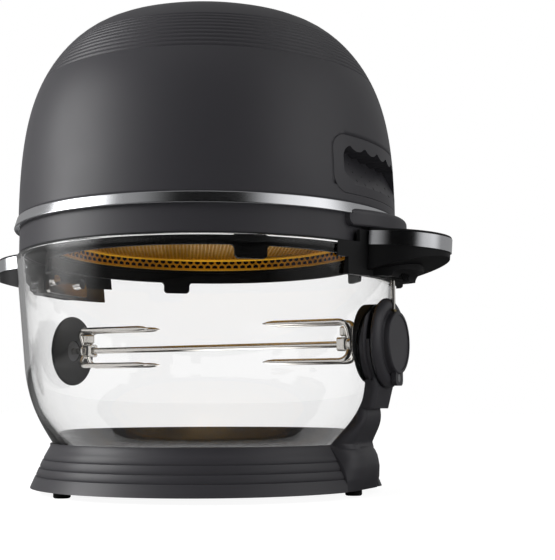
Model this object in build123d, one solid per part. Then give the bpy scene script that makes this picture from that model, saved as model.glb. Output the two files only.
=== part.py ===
from build123d import *
from math import asin, cos, degrees, hypot, pi, radians, sin, sqrt, tan
import os

# Countertop rotisserie oven: a base ring with one arm, a glass bowl with two handles and a driven spit, and
# a lift-off head with the heater, the fan and the drive. Millimetres, +Z up, the floor at z = 0, the spit
# along X with its driven end at +X, the front towards -Y. Heights are above the floor unless a comment says
# otherwise.

# ------------------------------------------------------------------ clearances and shared sizes
rest_gap = 0.1            # between faces of two bodies that rest on each other
side_gap = 0.5            # between curved faces of two bodies
seat_gap = 0.05           # between curved faces of pieces in one body
shaft_gap = 0.05          # radial running clearance of shafts
panel_gap = 0.3           # round a panel in its opening
screw_radius = 1.5
screw_head_radius = 2.8
screw_reach = 6.5         # into its boss
screw_head_height = 2.0
far = 300.0               # how far a cutting shape reaches

# ------------------------------------------------------------------ base
foot_height = 4.5
foot_radius = 6.0
foot_inset = 12.8         # of the feet, inside the ring's lower edge
base_height = 31.5        # ring, above the feet
base_radius = 129.8       # ring, at its lower edge
base_bulge = 0.8          # of the ring's side, over a straight cone
base_lip = 2.0            # of the ring's top, outside the glass
base_wall = 3.0
base_plate_thickness = 2.0
base_screw_offset = 32.0  # of the plate's screws, outside the bore
ring_ledges = (9.1, 14.7, 20.0)   # above the ring's lower edge
ledge_depth = 1.0
arm_foot_half_width = 30.0
arm_foot_depth = 11.0     # inwards from the ring's lip
arm_foot_inset = 1.3      # of the foot's face at its lower edge, inside the ring's
arm_foot_taper = 3.6      # how far the foot's face leans in at its top
arm_neck_half_width = 18.0
arm_face_inset = 9.0      # of the arm's face below the step, inside the hub's ring
arm_step_inset = 3.2      # and above it
arm_step_drop = 44.8      # of the step, below the spit
cradle_ring = 8.2         # of the arm's open end, round the hub's neck

# ------------------------------------------------------------------ glass bowl
glass_wall = 4.0
floor_radius = 75.0
floor_lift = 8.5          # under side of the glass, above the ring's lower edge
heel_inset = 34.4         # the corner's three guide points, inside the radius where the straight side starts
knee_inset = 21.4
shoulder_inset = 9.4
heel_lift = 7.5           # and above the glass floor
shoulder_lift = 43.8
straight_inset = 8.2      # of the radius where the straight side starts, inside the rim
straight_lift = 79.0      # start of the straight side above the glass floor
rim_radius = 143.6
rim_lift = 160.0          # rim above the glass floor
seat_ring_inset = 1.0     # inside the glass floor's edge
seat_ring_width = 11.0
seat_ledge = 3.0          # of the base, inside the seat ring
seat_ring_height = 2.6

# ------------------------------------------------------------------ spit, hubs and spit drive
spit_lift = 93.5          # above the glass floor
spit_radius = 2.4
hub_radius = 31.6
hub_neck_radius = 22.0
hub_spigot_radius = 11.5
hub_flange_radius = 27.8
hub_face_inset = 17.6     # of the driven hub's inner face, inside the rim
idle_face_inset = 19.6    # and of the idle hub's
idle_cap_radius = 24.0
idle_cap_rise = 1.4       # outside the rim
hub_flange_inset = 4.8    # of the outer flange's end, inside the rim
hub_flange_thickness = 4.8
hub_neck_length = 2.7     # between the flange and the ring, where the arm's cradle sits
hub_ring_width = 7.2
hub_cap_thickness = 4.3
cap_rim_width = 2.6
cap_rim_depth = 0.6
gasket_thickness = 1.1    # between the glass and what is screwed to it
gasket_gap = 0.2          # on each side of a gasket
lobe_half_width = 7.5
lobe_reach = 30.0         # of the cap's lobe, below the spit
rod_offset = 4.6          # of the drive rod, outside the rim
rod_radius = 1.6
bushing_radius = 2.7
socket_radius = 3.6       # of the coupling cup on the rod
socket_flats = 4.4        # across the flats of its hexagonal socket
socket_depth = 4.0
socket_length = 8.7
socket_gap = 1.3          # below the drive cover
dog_flats = 3.4           # across the flats of the dog in the socket
dog_length = 4.0          # below the drive cover
dog_collar_radius = 3.0
output_radius = 1.5
gear_module = 0.675
pinion_teeth = 8
crown_teeth = 48
tooth_backlash = 0.34
crown_face_width = 3.0
crown_thickness = 2.4
pinion_length = 4.2
fork_clamp = 11.0         # length of a fork's clamp along the spit
fork_clamp_width = 10.0
fork_clearance = 9.0      # from a fork's clamp to the hub face beside it
tine_length = 56.0
tine_radius = 2.0
tine_spread = 9.0         # sideways, from the spit
tine_rise = 16.0          # upper tines above the spit
tine_drop = 12.0          # lower tines below it
thumb_head_radius = 5.5
thumb_head_height = 8.0
thumb_stem_radius = 1.95

# ------------------------------------------------------------------ handles
handle_gap = 0.8          # from the rim to the handle's root
handle_reach = 45.6       # from root to tip
handle_half_width = 38.0
handle_droop = 4.0        # degrees
trim_height = 9.6
trim_thickness = 2.0
handle_drop = 1.3         # under side of the trim at the root, below the rim
handle_top_thickness = 1.8
bracket_half_width = 61.0
bracket_low_half_width = 53.5
bracket_ear_height = 11.0 # of the ends beyond the lower part, below the rim
bracket_drop = 22.5       # of the bracket's lower edge, below the rim
bracket_crest_half_width = 44.0   # of what stands above the rim
bracket_depth = 5.4       # out from the glass rim, at the middle
bracket_end_depth = 1.2   # and at the ends
underside_tip_depth = 3.2 # of the grip below the trim, at its tip
underside_slope = 13.3    # degrees, down towards the root
block_reach = 25.2        # of the finger block under the grip
block_half_width = 31.0
block_step = 12.5         # of the block's lower edge under the grip, below the trim's at the root
nose_reach = 12.0         # of the block's lower part
nose_hollow = 6.2
rib_count = 9
rib_gap = 2.6
rib_depth = 1.6
strap_half_width = 26.0
strap_thickness = 3.4
strap_low_drop = 20.5     # of the strap's edges, below the rim
strap_high_drop = 2.5
bolt_spacing = 35.0
bolt_drop = 10.0          # below the rim
bolt_radius = 2.0
bolt_head_radius = 4.2
bolt_head_height = 2.6
bolt_grip = 8.0           # length in the handle

# ------------------------------------------------------------------ head
seal_height = 1.1
seal_width = 3.6
collar_height = 17.8
collar_inset = 2.3        # inside the rim
collar_wall = 3.0
collar_ledge = 8.0
band_height = 8.0
band_bulge = 3.3          # of the chrome band, outside the dome
band_lean = 2.3           # how far the band's upper edge lies inside its lower edge
dome_step = 0.9           # of the dome, outside the collar
dome_height = 151.6
dome_wall = 3.0
dome_flat = 50.0          # radius of the flat top
groove_start = 103.5      # along the dome's side, from its lower edge to the first groove
groove_count = 10
groove_pitch = 3.75
groove_width = 2.0
groove_depth = 0.9
cover_overhang = 6.8      # of the drive cover, beyond the rod
cover_radius = 75.0       # of its face, seen from above
cover_half_width = 50.0
cover_rise = 12.2
cover_corner = 5.2
cover_wall = 2.0
cover_gap = 0.7           # above the handle
skirt_gap = 17.6          # from the glass to the skirt
skirt_wall = 3.0
skirt_drop = 4.5          # below the rim
tab_drop = 9.0            # below the skirt's edge
tab_width = 22.0
tab_corner = 3.0
tab_first = -48.0         # degrees, the first of four
plate_thickness = 2.0
mesh_drop = 11.0          # of the guard's lower edge, below the chassis plate
element_lift = 7.5        # of the element's and the fan's under side, above it
mesh_gap = 5.0            # from the skirt to the guard's side
mesh_height = 10.0
mesh_thickness = 0.9
mesh_cell = 9.0
pan_wall = 1.5
pan_rise = 12.0
element_radius = 86.0
element_tube = 3.0
element_leg_offset = 8.0  # of the two upright ends, sideways
fan_hub_radius = 12.0     # of both fans
fan_radius = 62.0
fan_blades = 9
fan_depth = 6.0
fan_sheet = 1.2
fan_blade_lean = 24.0     # degrees, from a spoke
shaft_radius = 3.0
motor_radius = 27.0
motor_height = 30.0
motor_stand = 9.0
motor_boss_radius = 9.0
bridge_radius = 42.0      # of the motor's bracket
bridge_leg_circle = 37.0
bridge_leg_radius = 4.0
bridge_thickness = 2.0
cooling_fan_radius = 44.0
cooling_fan_depth = 9.0
cooling_fan_chord = 11.0
cooling_fan_pitch = 32.0  # degrees
cooling_fan_blades = 7
gearmotor_radius = 18.0
gearmotor_height = 15.0
gearmotor_inset = 43.3    # of its axis, inside the collar
gear_case_height = 5.0
gear_case_half_width = 9.0
grip_half_width = 60.0
grip_low = 6.5            # above the dome's lower edge
grip_high = 47.0
grip_corner = 12.0
pocket_half_width = 51.0
pocket_low = 13.0
pocket_high = 40.0
pocket_depth = 15.5       # at the pocket's top
pocket_foot_depth = 3.0   # at its bottom
pocket_wall = 2.0
scallop_count = 5
touch_radius = 46.0
touch_thickness = 1.5
board_radius = 42.0
board_thickness = 1.6
board_drop = 10.0         # of its under side, below the dome's inside
board_post_circle = 35.4
grille_half_width = 34.0
grille_low = 32.0
grille_high = 60.0
grille_slats = 5
grille_margin = 4.0
grille_corner = 4.0
inlet_half_width = 12.0
inlet_low = 8.0
inlet_high = 24.0
inlet_depth = 14.0
inlet_corner = 3.0
inlet_wall = 2.5
pin_radius = 1.2
pin_offset = 4.5

# ------------------------------------------------------------------ levels and places worked out from them
base_low = foot_height
base_top = base_low + base_height
floor_low = base_low + floor_lift
rim_top = floor_low + rim_lift
spit_height = floor_low + spit_lift
seat_ring_outer = floor_radius - seat_ring_inset
seat_ring_inner = seat_ring_outer - seat_ring_width
base_bore = seat_ring_inner - seat_ledge
base_screw_circle = base_bore + base_screw_offset
foot_circle = base_radius - foot_inset
straight_radius = rim_radius - straight_inset
straight_start = floor_low + straight_lift
side_lean = (rim_radius - straight_radius) / (rim_lift - straight_lift)
hub_face = rim_radius - hub_face_inset
idle_face = rim_radius - idle_face_inset
hub_flange_end = rim_radius - hub_flange_inset
hub_ring_start = hub_flange_end + hub_neck_length
hub_ring_end = hub_ring_start + hub_ring_width
hub_cap_end = hub_ring_end + hub_cap_thickness
rod_x = rim_radius + rod_offset
idle_end = idle_face + 10.0
lip_radius = straight_radius - knee_inset + base_lip
arm_foot_inner = lip_radius - arm_foot_depth
arm_inner = straight_radius - 50.0
arm_face = hub_ring_start - arm_face_inset
arm_step_face = hub_ring_start - arm_step_inset
arm_step_height = spit_height - arm_step_drop
handle_root = rim_radius + handle_gap
handle_low = rim_top - handle_drop
bracket_low = rim_top - bracket_drop
strap_low = rim_top - strap_low_drop
strap_high = rim_top - strap_high_drop
bolt_height = rim_top - bolt_drop
collar_radius = rim_radius - collar_inset
dome_radius = collar_radius + dome_step
skirt_radius = rim_radius - glass_wall - skirt_gap
mesh_radius = skirt_radius - skirt_wall - mesh_gap
gearmotor_x = collar_radius - gearmotor_inset
collar_low = rim_top + rest_gap + seal_height
collar_top = collar_low + collar_height
dome_low = collar_top + band_height
dome_top = dome_low + dome_height
skirt_low = rim_top - skirt_drop
plate_low = collar_top - plate_thickness
mesh_low = plate_low - mesh_drop
element_low = plate_low + element_lift
pan_top = collar_top + pan_rise
cover_low = handle_low + trim_height + handle_top_thickness + cover_gap
cover_top = cover_low + cover_rise
cover_reach = rod_x + cover_overhang
crown_radius = gear_module * crown_teeth / 2
pinion_radius = gear_module * pinion_teeth / 2
mesh_plane = rod_x - pinion_radius
socket_top = cover_low - socket_gap
socket_floor = socket_top - socket_depth - 1.2
tooth_height = 0.85 * gear_module
tooth_root = 1.05 * gear_module
pinion_height = spit_height + crown_radius
bushing_top = spit_height + hub_neck_radius + 1.5
cap_screw_height = spit_height - lobe_reach + 5.2

os.makedirs("parts", exist_ok=True)


# ------------------------------------------------------------------ helpers
def on_both_sides(shape):
    """The pieces of the driven side with their mirror images at the idle side."""
    return Compound(list(shape.solids()) + list(mirror(shape, Plane.YZ).solids()))


def save(name, shape):
    """Write one node, as a single solid or a group of separate solids."""
    solids = shape.solids()
    export_step(solids[0] if len(solids) == 1 else Compound(list(solids)), f"parts/{name}.step")


def outline(*points):
    """A face in the X-Z plane with straight sides."""
    return make_face(Polyline([(x, 0, z) for x, z in points], close=True))


def turned(*points):
    """A ring or disc about Z from its section's corners (radius, height)."""
    return revolve(outline(*points), Axis.Z)


def tube(inner, outer, low, high):
    return turned((inner, low), (outer, low), (outer, high), (inner, high))


def rod_z(x, y, radius, low, high):
    return Pos(x, y, low) * Cylinder(radius, high - low, align=(Align.CENTER, Align.CENTER, Align.MIN))


def rod_x_way(y, z, radius, start, end):
    return Pos(start, y, z) * Rot(0, 90, 0) * Cylinder(
        radius, end - start, align=(Align.CENTER, Align.CENTER, Align.MIN)
    )


def block(x0, x1, half_width, z0, z1):
    """A box across the X axis, as wide on both sides of it."""
    return Pos((x0 + x1) / 2, 0, (z0 + z1) / 2) * Box(x1 - x0, 2 * half_width, z1 - z0)


def across(*points, half_width):
    """A prism along Y, centred, from its side view's corners (x, z)."""
    return extrude(outline(*points), half_width, both=True)


def beside(curve, inset):
    """A curve as long as the given one, moved to its left by an inset."""
    steps = [i / 12 for i in range(13)]
    points = []
    for step in steps:
        way = (curve % step).normalized()
        points.append((curve @ step) + Vector(-way.Z, 0, way.X) * inset)
    return Spline(points, tangents=(curve % 0, curve % 1))


def around(shape, count, first=0.0):
    """Copies of a shape in a full circle about Z."""
    return [Rot(0, 0, first + 360 * i / count) * shape for i in range(count)]


# The bowl's outside from the flat floor to the start of the straight side, then on with the side's lean.
bowl_corner = Spline(
    (floor_radius, 0, floor_low),
    (straight_radius - heel_inset, 0, floor_low + heel_lift),
    (straight_radius - knee_inset, 0, base_top),
    (straight_radius - shoulder_inset, 0, floor_low + shoulder_lift),
    (straight_radius, 0, straight_start),
    tangents=((1, 0, 0), (side_lean, 0, 1)),
)


def bowl_space(inset, high=rim_top + 40):
    """What lies inside the bowl's outer surface moved inwards by an inset, up to a height."""
    corner = beside(bowl_corner, inset)
    low, end = corner @ 0, corner @ 1
    top_radius = end.X + side_lean * (high - end.Z)
    profile = [
        Line((0, 0, low.Z), low),
        corner,
        Line(end, (top_radius, 0, high)),
        Line((top_radius, 0, high), (0, 0, high)),
        Line((0, 0, high), (0, 0, low.Z)),
    ]
    return revolve(make_face(profile), Axis.Z)


def glass_radius(height):
    """Outer radius of the bowl's straight side."""
    return straight_radius + side_lean * (height - straight_start)


# The dome's outside from its lower edge to the edge of its flat top.
dome_curve = Spline(
    (dome_radius, 0, dome_low),
    (dome_radius - 1.7, 0, dome_low + 0.303 * dome_height),
    (dome_radius - 12.1, 0, dome_low + 0.631 * dome_height),
    (dome_radius - 33.2, 0, dome_low + 0.857 * dome_height),
    (dome_radius - 54.4, 0, dome_low + 0.962 * dome_height),
    (dome_flat, 0, dome_top),
    tangents=((0, 0, 1), (-1, 0, 0)),
)


def dome_space(inset):
    """What lies inside the dome's outer surface moved inwards by an inset."""
    side = beside(dome_curve, inset)
    low, top = side @ 0, side @ 1
    centre = (0, 0, top.Z)
    profile = [Line((0, 0, low.Z), low), side, Line(top, centre), Line(centre, (0, 0, low.Z))]
    return revolve(make_face(profile), Axis.Z)


# ------------------------------------------------------------------ base
def base_side():
    """The ring's outer side, from its lower edge to the foot of the lip."""
    low, high = Vector(base_radius, 0, base_low), Vector(lip_radius, 0, base_top - 2.0)
    middle = (low + high) / 2 + Vector(1, 0, 0) * base_bulge
    return ThreePointArc(low, middle, high)


def base_ring():
    side = base_side()
    lip = side @ 1
    section = make_face([
        side,
        Line(lip, (lip.X, 0, base_top)),
        Line((lip.X, 0, base_top), (base_bore, 0, base_top)),
        Line((base_bore, 0, base_top), (base_bore, 0, base_low)),
        Line((base_bore, 0, base_low), side @ 0),
    ])
    ring = revolve(section, Axis.Z)
    for lift in ring_ledges:
        edge = (side @ (lift / (lip.Z - base_low))).X
        cut = outline(
            (edge - ledge_depth, base_low + lift),
            (edge + 2, base_low + lift),
            (edge + 2, base_low + lift + 2.6),
            (edge - ledge_depth / 3, base_low + lift + 2.6),
        )
        ring -= revolve(cut, Axis.Z)
    seat_low = floor_low - seat_ring_height
    ring -= bowl_space(-side_gap)
    ring -= tube(base_bore - 1, floor_radius + 2, seat_low, base_top)
    inner = bowl_space(-side_gap - base_wall, base_top + 40)
    hollow = make_face([
        Line((base_bore + base_wall, 0, base_low - 1), (base_radius - base_wall - 0.6, 0, base_low - 1)),
        Line((base_radius - base_wall - 0.6, 0, base_low - 1), (lip.X - base_wall, 0, base_top - 3)),
        Line((lip.X - base_wall, 0, base_top - 3), (base_bore + base_wall, 0, base_top - 3)),
        Line((base_bore + base_wall, 0, base_top - 3), (base_bore + base_wall, 0, base_low - 1)),
    ])
    hollow = revolve(hollow, Axis.Z) - inner
    hollow -= tube(base_bore, floor_radius + 2 + base_wall, seat_low - base_wall, base_top)
    boss = rod_z(base_screw_circle, 0, 4.0, base_low + base_plate_thickness, base_top)
    foot_half = arm_foot_half_width + base_wall
    hollow -= block(arm_foot_inner - 2 * base_wall, base_radius + 5, foot_half, 0, base_top)
    for copy in around(boss, 6, 30):
        hollow -= copy
    ring -= hollow
    pilot = rod_z(base_screw_circle, 0, screw_radius, base_low, base_low + screw_reach + 0.5)
    for copy in around(pilot, 6, 30):
        ring -= copy
    ring -= block(arm_foot_inner, base_radius + 5, arm_foot_half_width, base_low - 1, base_top + 5)
    return ring


def base_plate():
    outer = base_radius - base_wall - 2.4
    plate = tube(base_bore + base_wall + 0.2, outer, base_low, base_low + base_plate_thickness)
    foot_half = arm_foot_half_width + base_wall + 0.5
    plate -= block(arm_foot_inner - 2 * base_wall, base_radius + 5, foot_half, 0, base_top)
    for copy in around(rod_z(base_screw_circle, 0, screw_radius + 0.1, 0, base_top), 6, 30):
        plate -= copy
    return plate


def base_screws():
    head_low = base_low - screw_head_height
    shank = rod_z(base_screw_circle, 0, screw_radius, head_low + 1, base_low + screw_reach)
    head = rod_z(base_screw_circle, 0, screw_head_radius, head_low, base_low)
    return Compound([solid for copy in around(shank + head, 6, 30) for solid in copy.solids()])


def rubber_feet():
    foot = rod_z(foot_circle, 0, foot_radius, 0, base_low)
    foot = chamfer(foot.edges().group_by(Axis.Z)[0], 0.8)
    return Compound([solid for copy in around(foot, 3) for solid in copy.solids()])


def arm_foot():
    """The block that fills the ring's gap: flush with the ring at its sides, upright in the middle."""
    side = base_side()
    heights = [i / 5 for i in range(6)]

    def section(y, fullness):
        points = []
        for step in heights:
            place = side @ step
            flush = sqrt(place.X ** 2 - y ** 2)
            upright = base_radius - arm_foot_inset + 0.6 * sin(pi * step) - arm_foot_taper * step ** 3
            points.append((flush + fullness * (upright - flush), y, place.Z))
        top = points[-1]
        shoulder = top[0] - 2.5
        return Wire([
            Line((arm_foot_inner, y, base_low), points[0]),
            Spline(points),
            Line(top, (shoulder, y, base_top)),
            Line((shoulder, y, base_top), (arm_foot_inner, y, base_top)),
            Line((arm_foot_inner, y, base_top), (arm_foot_inner, y, base_low)),
        ])

    half = arm_foot_half_width - panel_gap
    places = ((-half, 0), (-0.62 * half, 0.78), (0, 1), (0.62 * half, 0.78), (half, 0))
    return Solid.make_loft([section(y, fullness) for y, fullness in places])


def arm_section(face, half_width, corner, height):
    """A level section of the arm with rounded corners, from inside the bowl's place to the arm's face."""
    plan = RectangleRounded(face - arm_inner, 2 * half_width, corner)
    return Pos((face + arm_inner) / 2, 0, height) * plan


def arm_support():
    """The arm on its foot: it narrows upwards, steps out below the hub and ends in an open cradle."""
    neck = arm_neck_half_width
    lower = loft([
        arm_section(arm_face - 8.5, neck + 10.5, 14, base_top - 3),
        arm_section(arm_face - 6.0, neck + 8.5, 11, base_top + 4),
        arm_section(arm_face - 1.5, neck + 3.2, 7, base_top + 12),
        arm_section(arm_face, neck, 5.5, arm_step_height),
    ])
    cradle_outer = hub_neck_radius + panel_gap + cradle_ring
    cradle_low = spit_height - cradle_outer
    lip = hub_ring_start + 0.6
    upper = loft([
        arm_section(arm_step_face, neck, 4, arm_step_height - 1),
        arm_section(lip, neck + 0.2, 4, cradle_low),
        arm_section(lip, neck + 0.8, 4, cradle_low + 6.5),
    ], ruled=True)
    upper += rod_x_way(0, spit_height, cradle_outer, arm_inner, hub_ring_start - 0.2)
    upper -= block(arm_inner - 1, 200, 60, spit_height + 1.5, 200)
    ring_room = hub_radius + panel_gap
    for room, start, end in (
        (ring_room, hub_ring_start - 0.2, 200),
        (hub_neck_radius + panel_gap, arm_inner - 1, 200),
        (ring_room, arm_inner - 1, hub_flange_end + 0.2),
    ):
        upper -= rod_x_way(0, spit_height, room, start, end)
        upper -= block(start, end, room, spit_height, spit_height + 60)
    return arm_foot() + lower + upper - bowl_space(-side_gap - panel_gap)


def bowl_seat_ring():
    return tube(seat_ring_inner, seat_ring_outer, floor_low - seat_ring_height, floor_low - rest_gap)


# ------------------------------------------------------------------ glass bowl and hubs
def glass_bowl():
    bowl = bowl_space(0, rim_top) - bowl_space(glass_wall)
    bowl = fillet(bowl.edges().filter_by(GeomType.CIRCLE).group_by(Axis.Z)[-1], glass_wall * 0.45)
    hole = hub_spigot_radius + panel_gap
    bowl -= rod_x_way(0, spit_height, hole, 0, far)
    bowl -= rod_x_way(0, spit_height, hole, -far, 0)
    for y in (-bolt_spacing / 2, bolt_spacing / 2):
        bowl -= rod_x_way(y, bolt_height, bolt_radius + 1.0, -far, far)
    return bowl


def hub_layer(outer, inner, radius, bore):
    """What a disc on the spit's axis keeps between two surfaces that follow the glass."""
    disc = rod_x_way(0, spit_height, radius, 60, far) - rod_x_way(0, spit_height, bore, 0, far)
    return disc & (bowl_space(outer) - bowl_space(inner))


def hub_inner_flange():
    flange = rod_x_way(0, spit_height, hub_flange_radius, hub_face, 200)
    flange &= bowl_space(glass_wall + gasket_thickness)
    flange = fillet(flange.edges().group_by(Axis.X)[0], 1.0)
    return flange - rod_x_way(0, spit_height, hub_spigot_radius + seat_gap, 0, far)


def hub_gasket():
    bore = hub_spigot_radius + 2
    near, deep = gasket_gap, gasket_thickness - gasket_gap
    inner = hub_layer(glass_wall + near, glass_wall + deep, hub_flange_radius - 1, bore)
    outer = hub_layer(-deep, -near, hub_flange_radius - 1, bore)
    return Compound(list(inner.solids()) + list(outer.solids()))


def pinion_room():
    """The pinion's chamber with the bushing's bore over it."""
    room = rod_z(rod_x, 0, pinion_radius + 1.0, spit_height + 10, pinion_height + pinion_length / 2 + 0.6)
    return room + rod_z(rod_x, 0, bushing_radius, pinion_height, bushing_top + 0.1)


def hub_housing():
    """The spigot through the glass, the flange outside, the neck in the arm's cradle and the gears' ring."""
    seat = hub_flange_end - hub_flange_thickness
    crest = (hub_ring_start + 3.2, 0, hub_radius)
    shoulder = (hub_ring_end - 0.3, 0, hub_radius - 6.4)
    groove = hub_neck_radius + 0.9
    body = Polyline([
        shoulder,
        (hub_ring_end - 1.4, 0, groove),
        (hub_ring_end, 0, hub_neck_radius),
        (hub_ring_end, 0, 0),
        (hub_face + 1, 0, 0),
        (hub_face + 1, 0, hub_spigot_radius),
        (seat, 0, hub_spigot_radius),
        (seat, 0, hub_radius - 0.6),
        (hub_flange_end - 1.5, 0, hub_radius - 0.1),
        (hub_flange_end, 0, hub_radius - 2.0),
        (hub_flange_end, 0, hub_neck_radius),
        (hub_ring_start, 0, hub_neck_radius),
        (hub_ring_start, 0, hub_radius - 2.6),
    ])
    section = make_face([
        body,
        ThreePointArc(body @ 1, (hub_ring_start + 0.8, 0, hub_radius - 0.8), crest),
        ThreePointArc(crest, (hub_ring_end - 1.4, 0, hub_radius - 2.2), shoulder),
    ])
    housing = Pos(0, 0, spit_height) * revolve(section, Axis.X)
    trim = bowl_space(-gasket_thickness) - rod_x_way(0, spit_height, hub_spigot_radius + 0.01, 0, far)
    housing -= trim
    housing -= rod_x_way(0, spit_height, crown_radius + crown_face_width, hub_ring_start + 0.6, 200)
    housing -= rod_x_way(0, spit_height, spit_radius + shaft_gap, 0, far)
    housing -= pinion_room()
    channel = rod_radius + 0.6
    housing -= block(rod_x - channel, 200, channel, spit_height + hub_neck_radius, 200)
    return housing - rod_x_way(0, cap_screw_height, screw_radius, hub_ring_end - 6, hub_ring_end + 1)


def gear_cap():
    """The cap over the gears: a raised rim, and a lobe below with its screw."""
    cap = rod_x_way(0, spit_height, hub_neck_radius, hub_ring_end, hub_cap_end)
    cap = fillet(cap.edges().group_by(Axis.X)[-1], 1.2)
    lobe_low = spit_height - lobe_reach
    lobe = block(hub_ring_end, hub_cap_end - 0.8, lobe_half_width, lobe_low, spit_height)
    lobe = fillet(lobe.edges().filter_by(Axis.X).group_by(Axis.Z)[0], 4.0)
    cap += lobe
    cap -= rod_x_way(0, spit_height, hub_neck_radius - cap_rim_width, hub_cap_end - cap_rim_depth, 200)
    cap -= rod_x_way(0, spit_height, spit_radius + shaft_gap, hub_ring_end - 1, hub_cap_end - 1.8)
    cap -= pinion_room()
    cap -= rod_x_way(0, cap_screw_height, screw_radius + 0.1, 0, far)
    return cap - rod_x_way(0, cap_screw_height, screw_head_radius + 0.1, hub_cap_end - 2.0, 200)


def cap_screw():
    shank = rod_x_way(0, cap_screw_height, screw_radius, hub_ring_end - 5, hub_cap_end - 1.5)
    return shank + rod_x_way(0, cap_screw_height, screw_head_radius, hub_cap_end - 2.0, hub_cap_end - 0.9)


def rod_bushing():
    low = pinion_height + pinion_length / 2 + 0.5
    bushing = rod_z(rod_x, 0, bushing_radius - seat_gap, low, bushing_top)
    return bushing - rod_z(rod_x, 0, rod_radius + shaft_gap, 0, far)


def idle_flange():
    flange = rod_x_way(0, spit_height, hub_flange_radius, idle_face, 200)
    flange &= bowl_space(glass_wall + gasket_thickness)
    flange = fillet(flange.edges().group_by(Axis.X)[0], 1.0)
    flange -= rod_x_way(0, spit_height, hub_spigot_radius + seat_gap, 0, far)
    return mirror(flange, Plane.YZ)


def idle_cap():
    cap = rod_x_way(0, spit_height, idle_cap_radius, idle_face, rim_radius + idle_cap_rise)
    cap = fillet(cap.edges().group_by(Axis.X)[-1], 3)
    cap -= bowl_space(-gasket_thickness)
    cap += rod_x_way(0, spit_height, hub_spigot_radius, idle_face + 1, rim_radius - 3.6)
    cap -= rod_x_way(0, spit_height, spit_radius + shaft_gap, 0, idle_end + 1.0)
    return mirror(cap, Plane.YZ)


# ------------------------------------------------------------------ spit and its drive
def spit_shaft():
    shaft = rod_x_way(0, spit_height, spit_radius, -idle_end, hub_cap_end - 2.2)
    return chamfer(shaft.edges().group_by(Axis.X)[0], 1.2)


def crown_gear():
    back = mesh_plane - tooth_root - crown_thickness
    outer = crown_radius + crown_face_width / 2
    gear = rod_x_way(0, spit_height, outer, back, mesh_plane - tooth_root)
    gear += rod_x_way(0, spit_height, spit_radius + 3, back, hub_ring_end - 0.6)
    half_pitch = pi * gear_module / 2
    half_base = (half_pitch - tooth_backlash) / 2 + tooth_root * tan(radians(20))
    half_tip = (half_pitch - tooth_backlash) / 2 - tooth_height * tan(radians(20))
    tooth = Polyline(
        [
            (mesh_plane - tooth_root - 0.2, -half_base, 0),
            (mesh_plane - tooth_root, -half_base, 0),
            (mesh_plane + tooth_height, -half_tip, 0),
            (mesh_plane + tooth_height, half_tip, 0),
            (mesh_plane - tooth_root, half_base, 0),
            (mesh_plane - tooth_root - 0.2, half_base, 0),
        ],
        close=True,
    )
    tooth = Pos(0, 0, outer - crown_face_width) * extrude(make_face(tooth), crown_face_width - 0.1)
    teeth = [
        Pos(0, 0, spit_height) * Rot(360 * i / crown_teeth, 0, 0) * tooth for i in range(crown_teeth)
    ]
    gear = gear.fuse(*teeth)
    return gear - rod_x_way(0, spit_height, spit_radius, 0, far)


def pinion():
    root = pinion_radius - tooth_root
    half_pitch = pi * gear_module / 2
    half_base = (half_pitch - tooth_backlash) / 2 + 0.25
    half_tip = (half_pitch - tooth_backlash) / 2 - 0.2
    tooth = make_face(Polyline(
        [
            (root - 0.4, -half_base, 0),
            (root, -half_base, 0),
            (pinion_radius, -(half_pitch - tooth_backlash) / 2, 0),
            (pinion_radius + tooth_height, -half_tip, 0),
            (pinion_radius + tooth_height, half_tip, 0),
            (pinion_radius, (half_pitch - tooth_backlash) / 2, 0),
            (root, half_base, 0),
            (root - 0.4, half_base, 0),
        ],
        close=True,
    ))
    gear = Cylinder(root, pinion_length)
    turn = 180 / pinion_teeth
    for i in range(pinion_teeth):
        place = Rot(0, 0, turn + 360 * i / pinion_teeth) * Pos(0, 0, -pinion_length / 2)
        gear += place * extrude(tooth, pinion_length)
    gear = Pos(rod_x, 0, pinion_height) * gear
    return gear - rod_z(rod_x, 0, rod_radius, 0, far)


def drive_rod():
    return rod_z(rod_x, 0, rod_radius, pinion_height - pinion_length / 2 - 1.5, socket_floor)


def hexagon(across_flats, low, high):
    return Pos(rod_x, 0, low) * extrude(RegularPolygon(across_flats / 2, 6, major_radius=False), high - low)


def rod_coupling():
    cup = rod_z(rod_x, 0, socket_radius, socket_top - socket_length, socket_top)
    cup -= hexagon(socket_flats, socket_top - socket_depth, socket_top + 1)
    return cup - rod_z(rod_x, 0, rod_radius, 0, socket_floor)


def output_coupling():
    collar_start = cover_low + 0.3
    mouth_end = cover_low + cover_wall
    dog = hexagon(dog_flats, cover_low - dog_length, collar_start + 0.1)
    flange = rod_z(rod_x, 0, dog_collar_radius, collar_start, mouth_end)
    return dog + flange + rod_z(rod_x, 0, output_radius, mouth_end, mouth_end + 3)


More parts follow.
